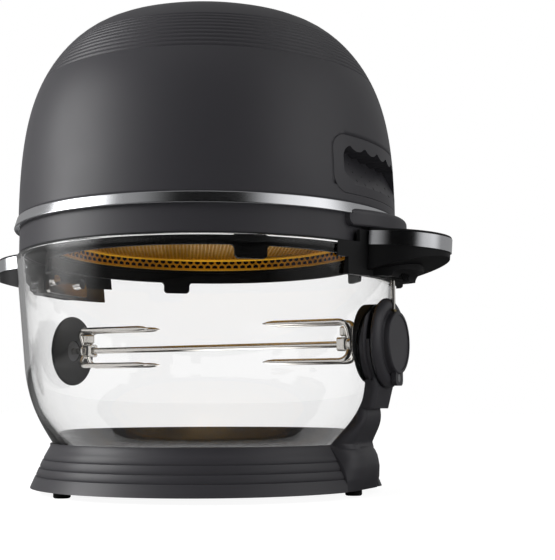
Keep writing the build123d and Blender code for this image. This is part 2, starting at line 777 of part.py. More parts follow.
def spit_fork():
    """The fork at the driven end: a clamp on the spit, a cross plate and four tines towards the middle."""
    outer = hub_face - fork_clearance
    inner = outer - fork_clamp
    half = fork_clamp_width / 2
    clamp = block(inner, outer, half, spit_height - half, spit_height + half)
    clamp = chamfer(clamp.edges().filter_by(Axis.X), 1.2)
    high, low = spit_height + tine_rise, spit_height - tine_drop
    half_width = tine_spread + tine_radius
    plate = block(inner - 2.0, inner + 0.4, half_width, low - tine_radius, high + tine_radius)
    plate = fillet(plate.edges().filter_by(Axis.X), tine_radius)
    for y in (-1, 1):
        side = y * (tine_spread + half + 6.5)
        plate -= Pos(inner - 1, side, spit_height + 2) * Box(10, 2 * tine_spread, 12)
    tines = []
    for y, z in ((-tine_spread, high), (tine_spread, high), (-tine_spread, low), (tine_spread, low)):
        tine = rod_x_way(y, z, tine_radius, inner - tine_length, inner)
        tine = chamfer(tine.edges().group_by(Axis.X)[0], tine_radius * 0.8, tine_radius * 0.8)
        tines.append(tine)
    fork = clamp + plate
    for tine in tines:
        fork += tine
    fork -= rod_x_way(0, spit_height, spit_radius + shaft_gap, 0, far)
    return fork - rod_z(thumb_x(), 0, thumb_stem_radius + shaft_gap, spit_height, 300)


def thumb_x():
    return hub_face - fork_clearance - fork_clamp / 2 + 1.0


def thumb_screw():
    x = thumb_x()
    clamp_top = spit_height + fork_clamp_width / 2
    stem = rod_z(x, 0, thumb_stem_radius, spit_height + spit_radius + 0.1, clamp_top + 2)
    head = rod_z(x, 0, thumb_head_radius, clamp_top + rest_gap + 0.5, clamp_top + thumb_head_height)
    for copy in around(rod_z(thumb_head_radius + 0.6, 0, 1.2, 0, far), 8, 22.5):
        head -= Pos(x, 0, 0) * copy
    return stem + head


# ------------------------------------------------------------------ handles (built at the driven side)
def handle_outline(inset, low, high):
    """The D-shaped plate between two heights, level."""
    radius = (handle_half_width ** 2 + handle_reach ** 2) / (2 * handle_reach)
    centre = handle_root + handle_reach - radius
    disc = rod_z(centre, 0, radius - inset, low, high)
    return disc & block(handle_root, handle_root + 100, handle_half_width + 10, low, high)


def drooped(shape):
    """A handle's shape tilted down about the root of the trim's under side."""
    turn = Rot(0, handle_droop, 0)
    return Pos(handle_root, 0, handle_low) * turn * Pos(-handle_root, 0, -handle_low) * shape


def coupling_bore():
    cup_room = rod_z(rod_x, 0, socket_radius + 0.3, socket_top - socket_length - 0.4, far)
    return cup_room + rod_z(rod_x, 0, rod_radius + 0.4, pinion_height, socket_top)


def handle_trim():
    high = handle_low + trim_height
    trim = handle_outline(0, handle_low, high) - handle_outline(trim_thickness, handle_low - 1, high + 1)
    return drooped(trim)


def handle_top(driven):
    low = handle_low + trim_height
    top = handle_outline(0.4, low, low + handle_top_thickness)
    top = fillet(top.edges().group_by(Axis.Z)[-1].filter_by(GeomType.CIRCLE), 1.2)
    top = drooped(top)
    return top - coupling_bore() if driven else top


def grip_under(inset, extra=0.0):
    """What fills the handle's outline under the trim, down to the slope that rises towards the tip."""
    under = drooped(handle_outline(inset, bracket_low - 20, handle_low))
    tip = handle_root + handle_reach
    tip_low = handle_low - handle_reach * tan(radians(handle_droop)) - underside_tip_depth - extra
    fall = tan(radians(underside_slope))
    return under - across(
        (tip + 10, tip_low + 10 * fall),
        (handle_root - 10, tip_low - (handle_reach + 10) * fall),
        (handle_root - 10, bracket_low - 40),
        (tip + 10, bracket_low - 40),
        half_width=100,
    )


def finger_block():
    """The smaller rounded block under the grip: a ledge, a hollow for the fingertips and a ribbed nose."""
    tip = handle_root + block_reach
    nose = handle_root + nose_reach
    step = handle_low - block_step - underside_tip_depth
    low = bracket_low + 0.4
    hollow = (nose + (1 - sin(pi / 4)) * nose_hollow, 0, low + sin(pi / 4) * (step - low))
    side = make_face([
        Line((handle_root, 0, handle_low - 4), (tip, 0, handle_low - 4)),
        Line((tip, 0, handle_low - 4), (tip, 0, step)),
        Line((tip, 0, step), (nose + nose_hollow, 0, step)),
        ThreePointArc((nose + nose_hollow, 0, step), hollow, (nose, 0, low)),
        Line((nose, 0, low), (handle_root, 0, low)),
        Line((handle_root, 0, low), (handle_root, 0, handle_low - 4)),
    ])
    finger = extrude(side, block_half_width, both=True)
    radius = (block_half_width ** 2 + block_reach ** 2) / (2 * block_reach)
    centre = tip - radius
    finger &= rod_z(centre, 0, radius, bracket_low - 10, handle_low)
    nose_radius = nose - centre
    for i in range(rib_count):
        turn = (i - (rib_count - 1) / 2) * 10
        slot = block(nose_radius - rib_depth, nose_radius + 3, rib_gap / 2, low - 1, step - 1.2)
        finger -= Pos(centre, 0, 0) * Rot(0, 0, turn) * slot
    return finger


def handle_grip(driven):
    """The core inside the trim, the hand's underside and the finger block with its ribs."""
    core = drooped(handle_outline(trim_thickness + seat_gap, handle_low - 0.5, handle_low + trim_height))
    grip = core + grip_under(1.0) + finger_block()
    for y in (-bolt_spacing / 2, bolt_spacing / 2):
        grip -= rod_x_way(y, bolt_height, bolt_radius, 0, handle_root + bolt_grip + 1)
    return grip - coupling_bore() if driven else grip


def handle_bracket(driven):
    """The curved block on the glass: thick in the middle, thinner at its ends, which are less tall."""
    outer = rim_radius + side_gap + bracket_depth
    end = rim_radius + bracket_end_depth
    end_x = sqrt(end ** 2 - bracket_half_width ** 2)
    rise = outer - end_x
    radius = (bracket_half_width ** 2 + rise ** 2) / (2 * rise)
    high = handle_low + trim_height
    plan = rod_z(outer - radius, 0, radius, bracket_low, high)
    shape = plan & block(0, far, bracket_half_width, bracket_low, high)
    ear_low = rim_top - bracket_ear_height
    under_ears = block(0, far, bracket_half_width + 1, 0, ear_low)
    shape -= under_ears - block(0, far, bracket_low_half_width, 0, ear_low)
    shape -= bowl_space(-gasket_thickness)
    shape -= rod_z(0, 0, rim_radius + side_gap, rim_top - 4, 300)
    shape -= block(0, far, 100, rim_top, 300) - block(0, far, bracket_crest_half_width, rim_top, 300)
    shape -= drooped(handle_outline(-seat_gap, handle_low, high + 20))
    shape -= grip_under(1.0 - seat_gap, seat_gap)
    block_end = block_half_width + seat_gap
    shape -= block(handle_root - seat_gap, 300, block_end, bracket_low + 0.3, handle_low)
    for y in (-bolt_spacing / 2, bolt_spacing / 2):
        shape -= rod_x_way(y, bolt_height, bolt_radius, 0, far)
    return shape - coupling_bore() if driven else shape


def inner_strap():
    near = glass_wall + gasket_thickness
    strap = bowl_space(near) - bowl_space(near + strap_thickness)
    strap &= block(60, far, strap_half_width, strap_low, strap_high)
    strap = fillet(strap.edges().filter_by(lambda edge: abs(edge.tangent_at(0.5).X) > 0.9), 2.5)
    for y in (-bolt_spacing / 2, bolt_spacing / 2):
        strap -= rod_x_way(y, bolt_height, bolt_radius + 0.1, 0, far)
    return strap


def handle_gasket():
    near, deep = gasket_gap, gasket_thickness - gasket_gap
    gasket = bowl_space(-deep) - bowl_space(-near)
    inner = bowl_space(glass_wall + near) - bowl_space(glass_wall + deep)
    zone = block(60, far, strap_half_width - 2, strap_low + 2, strap_high - 4)
    pads = []
    for layer in (gasket & zone, inner & zone):
        for y in (-bolt_spacing / 2, bolt_spacing / 2):
            layer -= rod_x_way(y, bolt_height, bolt_radius + 0.3, 0, far)
        pads += list(layer.solids())
    return Compound(pads)


def handle_bolts():
    bolts = []
    for y in (-bolt_spacing / 2, bolt_spacing / 2):
        strap_radius = glass_radius(bolt_height) - glass_wall - gasket_thickness - strap_thickness
        inner_face = sqrt(strap_radius ** 2 - y ** 2)
        shank = rod_x_way(y, bolt_height, bolt_radius - seat_gap, inner_face - 1.5, handle_root + bolt_grip)
        head_start = inner_face - bolt_head_height - 1.0
        head = rod_x_way(y, bolt_height, bolt_head_radius, head_start, inner_face - 1.0)
        head += rod_x_way(y, bolt_height, bolt_head_radius, inner_face - 1.0, inner_face + 4) & bowl_space(
            glass_wall + gasket_thickness + strap_thickness + seat_gap
        )
        bolts += list((shank + head).solids())
    return Compound(bolts)


# ------------------------------------------------------------------ head
def bowl_seal():
    middle = rim_radius - glass_wall / 2
    low = rim_top + rest_gap
    return tube(middle - seal_width / 2, collar_radius - 0.3, low, low + seal_height)


def cover_plan(shrink, low, high):
    return rod_z(cover_reach - cover_radius, 0, cover_radius - shrink, low, high)


def band_room():
    """The chrome band's space inside the drive cover, with a gap round it."""
    outer = dome_radius + band_bulge + rest_gap
    return turned(
        (0, collar_top),
        (outer, collar_top),
        (outer, collar_top + 0.8),
        (outer - band_lean, dome_low - 0.4),
        (0, dome_low - 0.4),
    )


def collar():
    ring = tube(collar_radius - collar_wall, collar_radius, collar_low, collar_top)
    ring += tube(collar_radius - collar_wall - collar_ledge, collar_radius - 1, plate_low - 2.0, plate_low)
    case_room = gear_case_half_width + 0.5
    ring -= block(rim_radius * 0.8, 300, case_room, cover_low + cover_wall, collar_top - 0.6)
    for x, y in head_screw_places():
        ring -= rod_z(x, y, screw_radius + 0.1, 0, collar_top)
    return ring


def drive_cover():
    """The pill-shaped cover over the gear case, outside the collar, with the output's mouth underneath."""
    cover = cover_plan(0, cover_low, cover_top)
    cover = fillet(cover.edges().filter_by(GeomType.CIRCLE).group_by(Axis.Z)[-1], 3.6)
    cover = fillet(cover.edges().filter_by(GeomType.CIRCLE).group_by(Axis.Z)[0], 1.4)
    face = RectangleRounded(2 * cover_half_width, cover_rise, cover_corner)
    face = Plane(origin=(0, 0, cover_low + cover_rise / 2), x_dir=(0, 1, 0), z_dir=(1, 0, 0)) * face
    cover &= extrude(face, far, dir=(1, 0, 0))
    cover -= rod_z(0, 0, collar_radius + seat_gap, 0, collar_top)
    cover -= band_room()
    hollow = cover_plan(cover_wall, cover_low + cover_wall, collar_top - 0.6)
    cover -= hollow & block(rim_radius * 0.8, 300, cover_half_width - cover_corner, 0, far)
    return cover - rod_z(rod_x, 0, dog_collar_radius + panel_gap, 0, cover_low + cover_wall + 1)


def head_screw_places():
    circle = collar_radius - collar_wall - 3.0
    return [(circle * cos(radians(a)), circle * sin(radians(a))) for a in (45, 135, 225, 315)]


def head_screws():
    screws = []
    for x, y in head_screw_places():
        shank = rod_z(x, y, screw_radius, plate_low - 2.5, dome_low + 4)
        head = rod_z(x, y, screw_head_radius, plate_low - 2.0 - screw_head_height, plate_low - 2.0)
        screws += list((shank + head).solids())
    return Compound(screws)


def chrome_band():
    outer = dome_radius + band_bulge
    inner = dome_radius - dome_wall - 0.2
    band = turned(
        (inner, collar_top),
        (outer - 0.8, collar_top),
        (outer, collar_top + 0.8),
        (outer - band_lean, dome_low - 0.4),
        (outer - band_lean - 0.4, dome_low),
        (inner, dome_low),
    )
    return band


def dome_window(half_width, low, high, corner, grow=0.0):
    """A prism along +X with rounded corners, as seen from the side."""
    face = RectangleRounded(2 * (half_width + grow), high - low + 2 * grow, corner + grow)
    face = Plane(origin=(0, 0, dome_low + (low + high) / 2), x_dir=(0, 1, 0), z_dir=(1, 0, 0)) * face
    return extrude(face, far, dir=(1, 0, 0))


def pocket_space(grow):
    """The hollow for the fingers: its back slopes inwards towards the top, its top edge is scalloped."""
    half = pocket_half_width + grow
    low, high = dome_low + pocket_low - grow, dome_low + pocket_high + grow
    face = RectangleRounded(2 * half, high - low, 9 + grow)
    face = Plane(origin=(0, 0, (low + high) / 2), x_dir=(0, 1, 0), z_dir=(1, 0, 0)) * face
    prism = extrude(face, far, dir=(1, 0, 0))
    pitch = 2 * (pocket_half_width - 6) / scallop_count
    bump = pitch * 0.62 - grow
    for i in range(scallop_count):
        y = (i - (scallop_count - 1) / 2) * pitch
        prism -= rod_x_way(y, high + bump - 3.2 - 0.6 * grow, bump, 0, far)
    wall_x = dome_radius - 2.2
    wedge = across(
        (wall_x - pocket_foot_depth - grow, low - 1),
        (wall_x - pocket_depth - grow, high - 3),
        (wall_x - pocket_depth - grow, high + 1),
        (300, high + 1),
        (300, low - 1),
        half_width=200,
    )
    return prism & wedge


def grip_panel():
    window = dome_window(grip_half_width, grip_low, grip_high, grip_corner)
    panel = (dome_space(0) - dome_space(dome_wall)) & window
    body = pocket_space(pocket_wall) & dome_space(1.0)
    panel += body
    panel -= pocket_space(0)
    wall_x = dome_radius - 2.2
    slope = (pocket_depth - pocket_foot_depth) / (pocket_high - pocket_low)
    for row in range(3):
        for column in range(5):
            rise = 5.0 + 6.5 * row
            x = wall_x - pocket_foot_depth - slope * rise
            y = (column - 2) * pocket_half_width / 3.1
            panel -= Pos(x, y, dome_low + pocket_low + rise) * Rot(35, 0, 0) * Box(2.0, 1.4, 3.6)
    return panel


def dome_shell():
    """The head's outer shell: openings and a seat for its panels, grooves and screw bosses."""
    shell = dome_space(0) - dome_space(dome_wall)
    grip_window = dome_window(grip_half_width, grip_low, grip_high, grip_corner, panel_gap)
    rear = Rot(0, 0, 90)
    for window in (
        grip_window,
        mirror(grip_window, Plane.YZ),
        rear * dome_window(grille_half_width, grille_low, grille_high, grille_corner, panel_gap),
        rear * dome_window(inlet_half_width, inlet_low, inlet_high, inlet_corner, panel_gap),
    ):
        shell -= window
    touch_room = rod_z(0, 0, touch_radius + panel_gap, dome_low + dome_height / 2, 500)
    shell -= touch_room - dome_space(touch_thickness)
    length = dome_curve.length
    start = groove_start / length
    for i in range(groove_count):
        at = start + i * groove_pitch / length
        place, way = dome_curve @ at, (dome_curve % at).normalized()
        out = Vector(way.Z, 0, -way.X)
        a = place - way * groove_width / 2 + out * 0.2
        b = place + way * groove_width / 2 + out * 0.2
        c = place - out * groove_depth
        shell -= revolve(make_face(Polyline([a, b, c], close=True)), Axis.Z)
    for x, y in head_screw_places():
        angle = degrees(asin(y / hypot(x, y))) if x > 0 else 180 - degrees(asin(y / hypot(x, y)))
        radius = hypot(x, y)
        boss = rod_z(radius, 0, 2.9, collar_top, dome_low + 10)
        boss += block(radius, dome_radius - dome_wall + 0.5, 1.6, dome_low + 0.5, dome_low + 10)
        boss -= rod_z(radius, 0, screw_radius, 0, dome_low + 6)
        shell += Rot(0, 0, angle) * boss
    return shell


def touch_panel():
    panel = dome_space(0) - dome_space(touch_thickness - seat_gap)
    return panel & rod_z(0, 0, touch_radius, dome_low + dome_height / 2, 500)


def control_board():
    """The board under the panel, hung from four posts, with its power block underneath."""
    low = dome_top - dome_wall - board_drop
    board = rod_z(0, 0, board_radius, low, low + board_thickness)
    for angle in (45, 135, 225, 315):
        x, y = board_post_circle * cos(radians(angle)), board_post_circle * sin(radians(angle))
        board += rod_z(x, y, 3, low, dome_top) & dome_space(dome_wall + seat_gap)
    return board + Pos(0, 0, low - 1.5) * Box(26, 20, 3)


def exhaust_grille():
    window = dome_window(grille_half_width, grille_low, grille_high, grille_corner)
    grille = (dome_space(0) - dome_space(dome_wall)) & window
    pitch = (grille_high - grille_low - 6) / grille_slats
    for i in range(grille_slats):
        z = dome_low + grille_low + 3 + pitch * (i + 0.5)
        grille -= block(0, far, grille_half_width - grille_margin, z - pitch * 0.3, z + pitch * 0.3)
    return Rot(0, 0, 90) * grille


def power_inlet():
    """The appliance inlet at the back: a socket with two pins."""
    start = dome_radius - inlet_depth
    window = dome_window(inlet_half_width, inlet_low, inlet_high, inlet_corner)
    body = window & dome_space(0) & block(start, far, inlet_half_width + 1, 0, dome_top)
    mouth = dome_window(inlet_half_width, inlet_low, inlet_high, inlet_corner, -inlet_wall)
    body -= mouth & block(start + inlet_wall, far, inlet_half_width, 0, dome_top)
    middle = dome_low + (inlet_low + inlet_high) / 2
    for y in (-pin_offset, pin_offset):
        body += rod_x_way(y, middle, pin_radius, start + 1, dome_radius - 3)
    return Rot(0, 0, 90) * body


def inner_skirt():
    inner = skirt_radius - skirt_wall
    skirt = tube(inner, skirt_radius, skirt_low, plate_low)
    skirt += tube(inner - 2, inner + 0.5, mesh_low - 1.8, mesh_low)
    flange_low = collar_low
    skirt += tube(skirt_radius - 0.5, collar_radius - collar_wall - seat_gap, flange_low, flange_low + 2.0)
    for copy in around(skirt_tab(), 4, tab_first):
        skirt += copy
    return skirt


def skirt_tab():
    """A tongue below the skirt's edge, rounded at its corners and at its roots."""
    half, flare = tab_width / 2, tab_corner + 1
    face = Polygon(
        (-half - flare, 2),
        (-half - flare, 0),
        (-half, 0),
        (-half, -tab_drop),
        (half, -tab_drop),
        (half, 0),
        (half + flare, 0),
        (half + flare, 2),
        align=None,
    )
    corners = [v for v in face.vertices() if abs(abs(v.X) - half) < 0.01]
    face = fillet(corners, tab_corner)
    place = Plane(origin=(0, 0, skirt_low), x_dir=(0, 1, 0), z_dir=(1, 0, 0))
    tongue = extrude(place * face, 300, dir=(1, 0, 0))
    return tongue & tube(skirt_radius - skirt_wall, skirt_radius, skirt_low - 50, skirt_low + 2)


def chassis_plate():
    inner = skirt_radius - skirt_wall
    plate = tube(inner, collar_radius - collar_wall - seat_gap, plate_low, collar_top)
    plate -= block(skirt_radius - 12, 300, gear_case_half_width + 0.3, 0, far)
    for x, y in head_screw_places():
        plate -= rod_z(x, y, screw_radius + 0.1, 0, far)
    return plate


def mesh_guard():
    """A pan-shaped guard of perforated sheet under the heater, open at the bottom."""
    top = mesh_low + mesh_height
    guard = turned(
        (mesh_radius, mesh_low),
        (skirt_radius - skirt_wall - 0.2, mesh_low),
        (skirt_radius - skirt_wall - 0.2, mesh_low + mesh_thickness),
        (mesh_radius + mesh_thickness, mesh_low + mesh_thickness),
        (mesh_radius + mesh_thickness, top),
        (0, top),
        (0, top - mesh_thickness),
        (mesh_radius, top - mesh_thickness),
    )
    hexagon_hole = RegularPolygon(mesh_cell * 0.8, 6)
    holes = []
    for ring in range(1, 6):
        for i in range(6 * ring):
            angle = 360 * i / (6 * ring)
            place = Rot(0, 0, angle) * Pos(ring * mesh_radius / 5.9, 0, top - 2)
            holes.append(place * extrude(hexagon_hole, 4))
    return guard.cut(*holes)


def reflector_pan():
    low = collar_top
    inner = mesh_radius + mesh_thickness + 0.6
    pan = turned(
        (inner, low),
        (skirt_radius + 1, low),
        (skirt_radius + 1, low + pan_wall),
        (inner + pan_wall, low + pan_wall),
        (inner + pan_wall, pan_top + pan_wall),
        (0, pan_top + pan_wall),
        (0, pan_top),
        (inner, pan_top),
    )
    pan -= rod_z(0, 0, shaft_radius + 2, 0, far)
    for y in (-element_leg_offset, element_leg_offset):
        pan -= rod_z(-element_radius, y, element_tube + seat_gap, 0, far)
    return pan


def heating_element():
    """A tubular ring with two ends that turn up through the pan."""
    level = element_low + element_tube
    gap = degrees(asin(element_leg_offset / element_radius))
    ring = CenterArc((0, 0, level), element_radius, 180 + gap, 360 - 2 * gap)
    element = sweep(Plane(origin=ring @ 0, z_dir=ring % 0) * Circle(element_tube), ring)
    for end_y in (-element_leg_offset, element_leg_offset):
        element += rod_z(-element_radius, end_y, element_tube, level, pan_top + 12)
        element += Pos(-element_radius, end_y, level) * Sphere(element_tube)
    return element


def convection_fan():
    low = element_low
    top = low + fan_depth
    fan = rod_z(0, 0, fan_hub_radius, low, top) + rod_z(0, 0, fan_radius, top - 1.0, top)
    blade = Box(fan_radius - fan_hub_radius - 10, fan_sheet, fan_depth - 0.5)
    blade = Rot(0, 0, fan_blade_lean) * blade
    blade = Pos((fan_radius + fan_hub_radius + 8) / 2, 0, low + fan_depth / 2) * blade
    fan = fan.fuse(*around(blade, fan_blades))
    return fan - rod_z(0, 0, shaft_radius, low + 1.5, far)


def fan_shaft():
    return rod_z(0, 0, shaft_radius, element_low + 1.5, motor_low() + motor_height + 14)


def motor_low():
    return pan_top + pan_wall + motor_stand


def fan_motor():
    low = motor_low()
    motor = rod_z(0, 0, motor_radius, low, low + motor_height)
    motor = fillet(motor.edges().filter_by(GeomType.CIRCLE), 2.5)
    motor += rod_z(0, 0, motor_boss_radius, low - 3, low + motor_height + 2)
    return motor - rod_z(0, 0, shaft_radius + shaft_gap, 0, far)


def motor_bracket():
    """A flat bridge under the motor on three legs that stand on the pan."""
    low = motor_low()
    bridge = tube(motor_boss_radius + 0.2, bridge_radius, low - bridge_thickness, low)
    leg = rod_z(bridge_leg_circle, 0, bridge_leg_radius, pan_top + pan_wall, low - bridge_thickness / 2)
    for copy in around(leg, 3, 60):
        bridge += copy
    return bridge


def cooling_fan():
    low = motor_low() + motor_height + 4
    root = fan_hub_radius - 2
    fan = rod_z(0, 0, fan_hub_radius, low, low + cooling_fan_depth)
    blade = Rot(cooling_fan_pitch, 0, 0) * Box(cooling_fan_radius - root, cooling_fan_chord, fan_sheet)
    blade = Pos((cooling_fan_radius + root) / 2, 0, low + cooling_fan_depth / 2) * blade
    fan = fan.fuse(*around(blade, cooling_fan_blades))
    return fan - rod_z(0, 0, shaft_radius, 0, far)


def spit_gearmotor():
    """A sealed unit: the motor on the pan, and a flat gear case that steps down into the drive cover."""
    low = pan_top + pan_wall
    half = gear_case_half_width
    unit = rod_z(gearmotor_x, 0, gearmotor_radius, low, low + gearmotor_height)
    riser_inner = skirt_radius + 2.2
    riser_outer = sqrt((collar_radius - collar_wall - 0.4) ** 2 - half ** 2)
    unit += block(gearmotor_x, riser_outer, half, low, low + gear_case_height)
    pod_low = cover_low + cover_wall + 0.1
    unit += block(riser_inner, riser_outer, half, pod_low, low + gear_case_height)
    pod_end = sqrt((cover_radius - cover_wall - 0.3) ** 2 - half ** 2) + cover_reach - cover_radius
    unit += block(riser_inner, pod_end, half, pod_low, collar_top - 0.8)
    return unit - rod_z(rod_x, 0, output_radius + shaft_gap, 0, pod_low + 4)


# ------------------------------------------------------------------ write every node
save("base_ring", base_ring())
save("arm_support", arm_support())
save("base_plate", base_plate())
save("base_screws", base_screws())
save("rubber_feet", rubber_feet())
save("bowl_seat_ring", bowl_seat_ring())

save("glass_bowl", glass_bowl())
save("hub_inner_flange", hub_inner_flange())
save("hub_gaskets", on_both_sides(hub_gasket()))
save("hub_housing", hub_housing())
save("gear_cap", gear_cap())
save("cap_screw", cap_screw())
save("rod_bushing", rod_bushing())
save("idle_flange", idle_flange())
save("idle_cap", idle_cap())

save("spit_shaft", spit_shaft())
save("crown_gear", crown_gear())
save("pinion", pinion())
save("drive_rod", drive_rod())
save("rod_coupling", rod_coupling())
save("output_coupling", output_coupling())
save("spit_fork_right", spit_fork())
save("thumb_screw_right", thumb_screw())
left_shift = Pos(hub_face - idle_face, 0, 0)
save("spit_fork_left", left_shift * mirror(spit_fork(), Plane.YZ))
save("thumb_screw_left", left_shift * mirror(thumb_screw(), Plane.YZ))

for side in ("right", "left"):
    driven = side == "right"
    pieces = {
        "handle_bracket": handle_bracket(driven),
        "handle_grip": handle_grip(driven),
        "handle_trim": handle_trim(),
        "handle_top": handle_top(driven),
        "inner_strap": inner_strap(),
    }
    for name, shape in pieces.items():
        save(f"{name}_{side}", shape if driven else mirror(shape, Plane.YZ))

save("handle_bolts", on_both_sides(handle_bolts()))
save("handle_gaskets", on_both_sides(handle_gasket()))

save("bowl_seal", bowl_seal())
save("collar", collar())
save("drive_cover", drive_cover())
save("head_screws", head_screws())
save("chrome_band", chrome_band())
save("dome_shell", dome_shell())
grip = grip_panel()
save("grip_panel_right", grip)
save("grip_panel_left", mirror(grip, Plane.YZ))
save("touch_panel", touch_panel())
save("control_board", control_board())
save("exhaust_grille", exhaust_grille())
save("power_inlet", power_inlet())
save("inner_skirt", inner_skirt())
save("chassis_plate", chassis_plate())
save("mesh_guard", mesh_guard())
save("reflector_pan", reflector_pan())
save("heating_element", heating_element())
save("convection_fan", convection_fan())
save("fan_shaft", fan_shaft())
save("fan_motor", fan_motor())
save("motor_bracket", motor_bracket())
save("cooling_fan", cooling_fan())
save("spit_gearmotor", spit_gearmotor())
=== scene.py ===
import math
import bpy
import bmesh
import numpy as np
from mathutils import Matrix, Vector


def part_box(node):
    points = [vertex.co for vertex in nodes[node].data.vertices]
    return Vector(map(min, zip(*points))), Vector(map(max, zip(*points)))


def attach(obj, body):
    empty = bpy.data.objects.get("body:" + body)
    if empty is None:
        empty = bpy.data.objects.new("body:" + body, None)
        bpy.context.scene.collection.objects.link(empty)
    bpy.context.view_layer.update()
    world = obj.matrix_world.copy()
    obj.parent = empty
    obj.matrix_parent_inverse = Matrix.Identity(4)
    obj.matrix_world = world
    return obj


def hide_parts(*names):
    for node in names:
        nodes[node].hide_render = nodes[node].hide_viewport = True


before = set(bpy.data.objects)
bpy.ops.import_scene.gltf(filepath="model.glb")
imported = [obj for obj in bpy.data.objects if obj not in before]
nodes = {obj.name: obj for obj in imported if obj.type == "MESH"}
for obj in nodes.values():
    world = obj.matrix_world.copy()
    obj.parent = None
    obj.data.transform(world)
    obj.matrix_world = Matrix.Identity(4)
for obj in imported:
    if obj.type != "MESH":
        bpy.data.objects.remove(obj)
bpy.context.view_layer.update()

# Rotisserie oven: glass bowl on a base ring, driven spit, lift-off domed head.
# Shapes are worked out in millimetres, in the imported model's frame: +Z up, spit along X, front towards -Y.

mm = 0.001
mergeReach = 1e-6  # metres, closer corners are one


def span(node):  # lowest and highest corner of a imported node, in millimetres
    low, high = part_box(node)
    return np.array(low) / mm, np.array(high) / mm


def linear(hexCode):  # a colour as a card names it (sRGB hex), turned linear as shaders take it
    parts = [int(hexCode[i:i + 2], 16) / 255 for i in (0, 2, 4)]
    return tuple(c / 12.92 if c <= 0.04045 else ((c + 0.055) / 1.055) ** 2.4 for c in parts) + (1.0,)


def eased(t):  # smoothstep of a share between 0 and 1: 3 t^2 - 2 t^3
    return t * t * (3 - 2 * t)


def roundedPath(corners, closed=True, steps=4):
    # corners are (x, y, radius): each turns into an arc tangent to its two sides, with a point just beyond
    # either end of the arc so that long flats stay flat in the shading
    points = []
    count = len(corners)
    for i, (x, y, radius) in enumerate(corners):
        here = np.array([x, y], float)
        if radius <= 0 or (not closed and i in (0, count - 1)):
            points.append(here)
            continue
        before = np.array(corners[i - 1][:2], float) - here
        after = np.array(corners[(i + 1) % count][:2], float) - here
        lengthA, lengthB = np.hypot(*before), np.hypot(*after)
        wayA, wayB = before / lengthA, after / lengthB
        half = math.acos(np.clip(wayA @ wayB, -1, 1)) / 2
        reach = min(radius / math.tan(half), 0.48 * lengthA, 0.48 * lengthB)  # arcs never meet
        radius = reach * math.tan(half)
        centre = here + (wayA + wayB) / np.hypot(*(wayA + wayB)) * radius / math.sin(half)
        first, last = here + wayA * reach - centre, here + wayB * reach - centre
        start = math.atan2(first[1], first[0])
        turn = (math.atan2(last[1], last[0]) - start + math.pi) % (2 * math.pi) - math.pi
        support = min(0.4 * radius, 0.3 * (min(lengthA, lengthB) - reach))
        angle = start + turn * np.arange(steps + 1) / steps
        points.append(here + wayA * (reach + support))
        points.extend(centre + radius * np.stack([np.cos(angle), np.sin(angle)], 1))
        points.append(here + wayB * (reach + support))
    return np.array(points)


def clampedSpline(knots, startWay, endWay, steps):
    # cubic spline through the knots, spaced by their chords, with the given directions at its two ends
    p = np.array(knots, float)
    t = np.concatenate([[0], np.cumsum(np.hypot(*np.diff(p, axis=0).T))])
    h = np.diff(t)
    n = len(p)
    a, b = np.zeros((n, n)), np.zeros((n, 2))
    a[0, 0], b[0] = 1, np.array(startWay) / np.hypot(*startWay)
    a[-1, -1], b[-1] = 1, np.array(endWay) / np.hypot(*endWay)
    for i in range(1, n - 1):
        a[i, i - 1:i + 2] = [1 / h[i - 1], 2 / h[i - 1] + 2 / h[i], 1 / h[i]]
        b[i] = 3 * ((p[i] - p[i - 1]) / h[i - 1] ** 2 + (p[i + 1] - p[i]) / h[i] ** 2)
    m = np.linalg.solve(a, b)
    s = np.linspace(0, t[-1], steps + 1)
    i = np.clip(np.searchsorted(t, s, side="right") - 1, 0, n - 2)
    u = ((s - t[i]) / h[i])[:, None]
    hh = h[i][:, None]
    return ((2 * u**3 - 3 * u**2 + 1) * p[i] + (u**3 - 2 * u**2 + u) * hh * m[i]
            + (3 * u**2 - 2 * u**3) * p[i + 1] + (u**3 - u**2) * hh * m[i + 1])


def beside(path, inset):  # an open path moved to its left by an inset, along its own normals
    way = np.gradient(path, axis=0)
    way /= np.hypot(way[:, 0], way[:, 1])[:, None]
    return path + inset * np.stack([-way[:, 1], way[:, 0]], 1)


def gridFaces(rows, columns, closeRows=False, closeColumns=False):
    # four corners of every cell of a grid of points, so that the face points away from (column x row)
    index = np.arange(rows * columns).reshape(rows, columns)
    if closeRows:
        index = np.vstack([index, index[:1]])
    if closeColumns:
        index = np.hstack([index, index[:, :1]])
    return np.stack([index[:-1, :-1], index[:-1, 1:], index[1:, 1:], index[1:, :-1]], -1).reshape(-1, 4)


def turned(profile, columns, level=None):
    # point(profile, angle) = radius away from the axis at that angle, height along the axis; the axis is
    # upright, or with a level it lies along X at that height, where the angle runs from +Y towards +Z
    r, h = np.asarray(profile).T[:, :, None]
    angle = np.linspace(0, 2 * math.pi, columns, endpoint=False)
    if level is None:
        return np.stack([r * np.cos(angle), r * np.sin(angle), h + 0 * angle], -1)
    return np.stack([h + 0 * angle, r * np.cos(angle), level + r * np.sin(angle)], -1)


def edited(mesh, *changes):  # each change(work) acts on the mesh while it is open for editing
    work = bmesh.new()
    work.from_mesh(mesh)
    for change in changes:
        change(work)
    work.to_mesh(mesh)
    work.free()


def merged(work):
    bmesh.ops.remove_doubles(work, verts=work.verts, dist=mergeReach)


def outward(work):
    bmesh.ops.recalc_face_normals(work, faces=work.faces)


def trimmed(work):  # corners that no face uses
    bmesh.ops.delete(work, geom=[v for v in work.verts if not v.link_faces], context="VERTS")


def dress(mesh, material, smooth=True):
    mesh.polygons.foreach_set("use_smooth", [smooth] * len(mesh.polygons))
    mesh.materials.append(material)


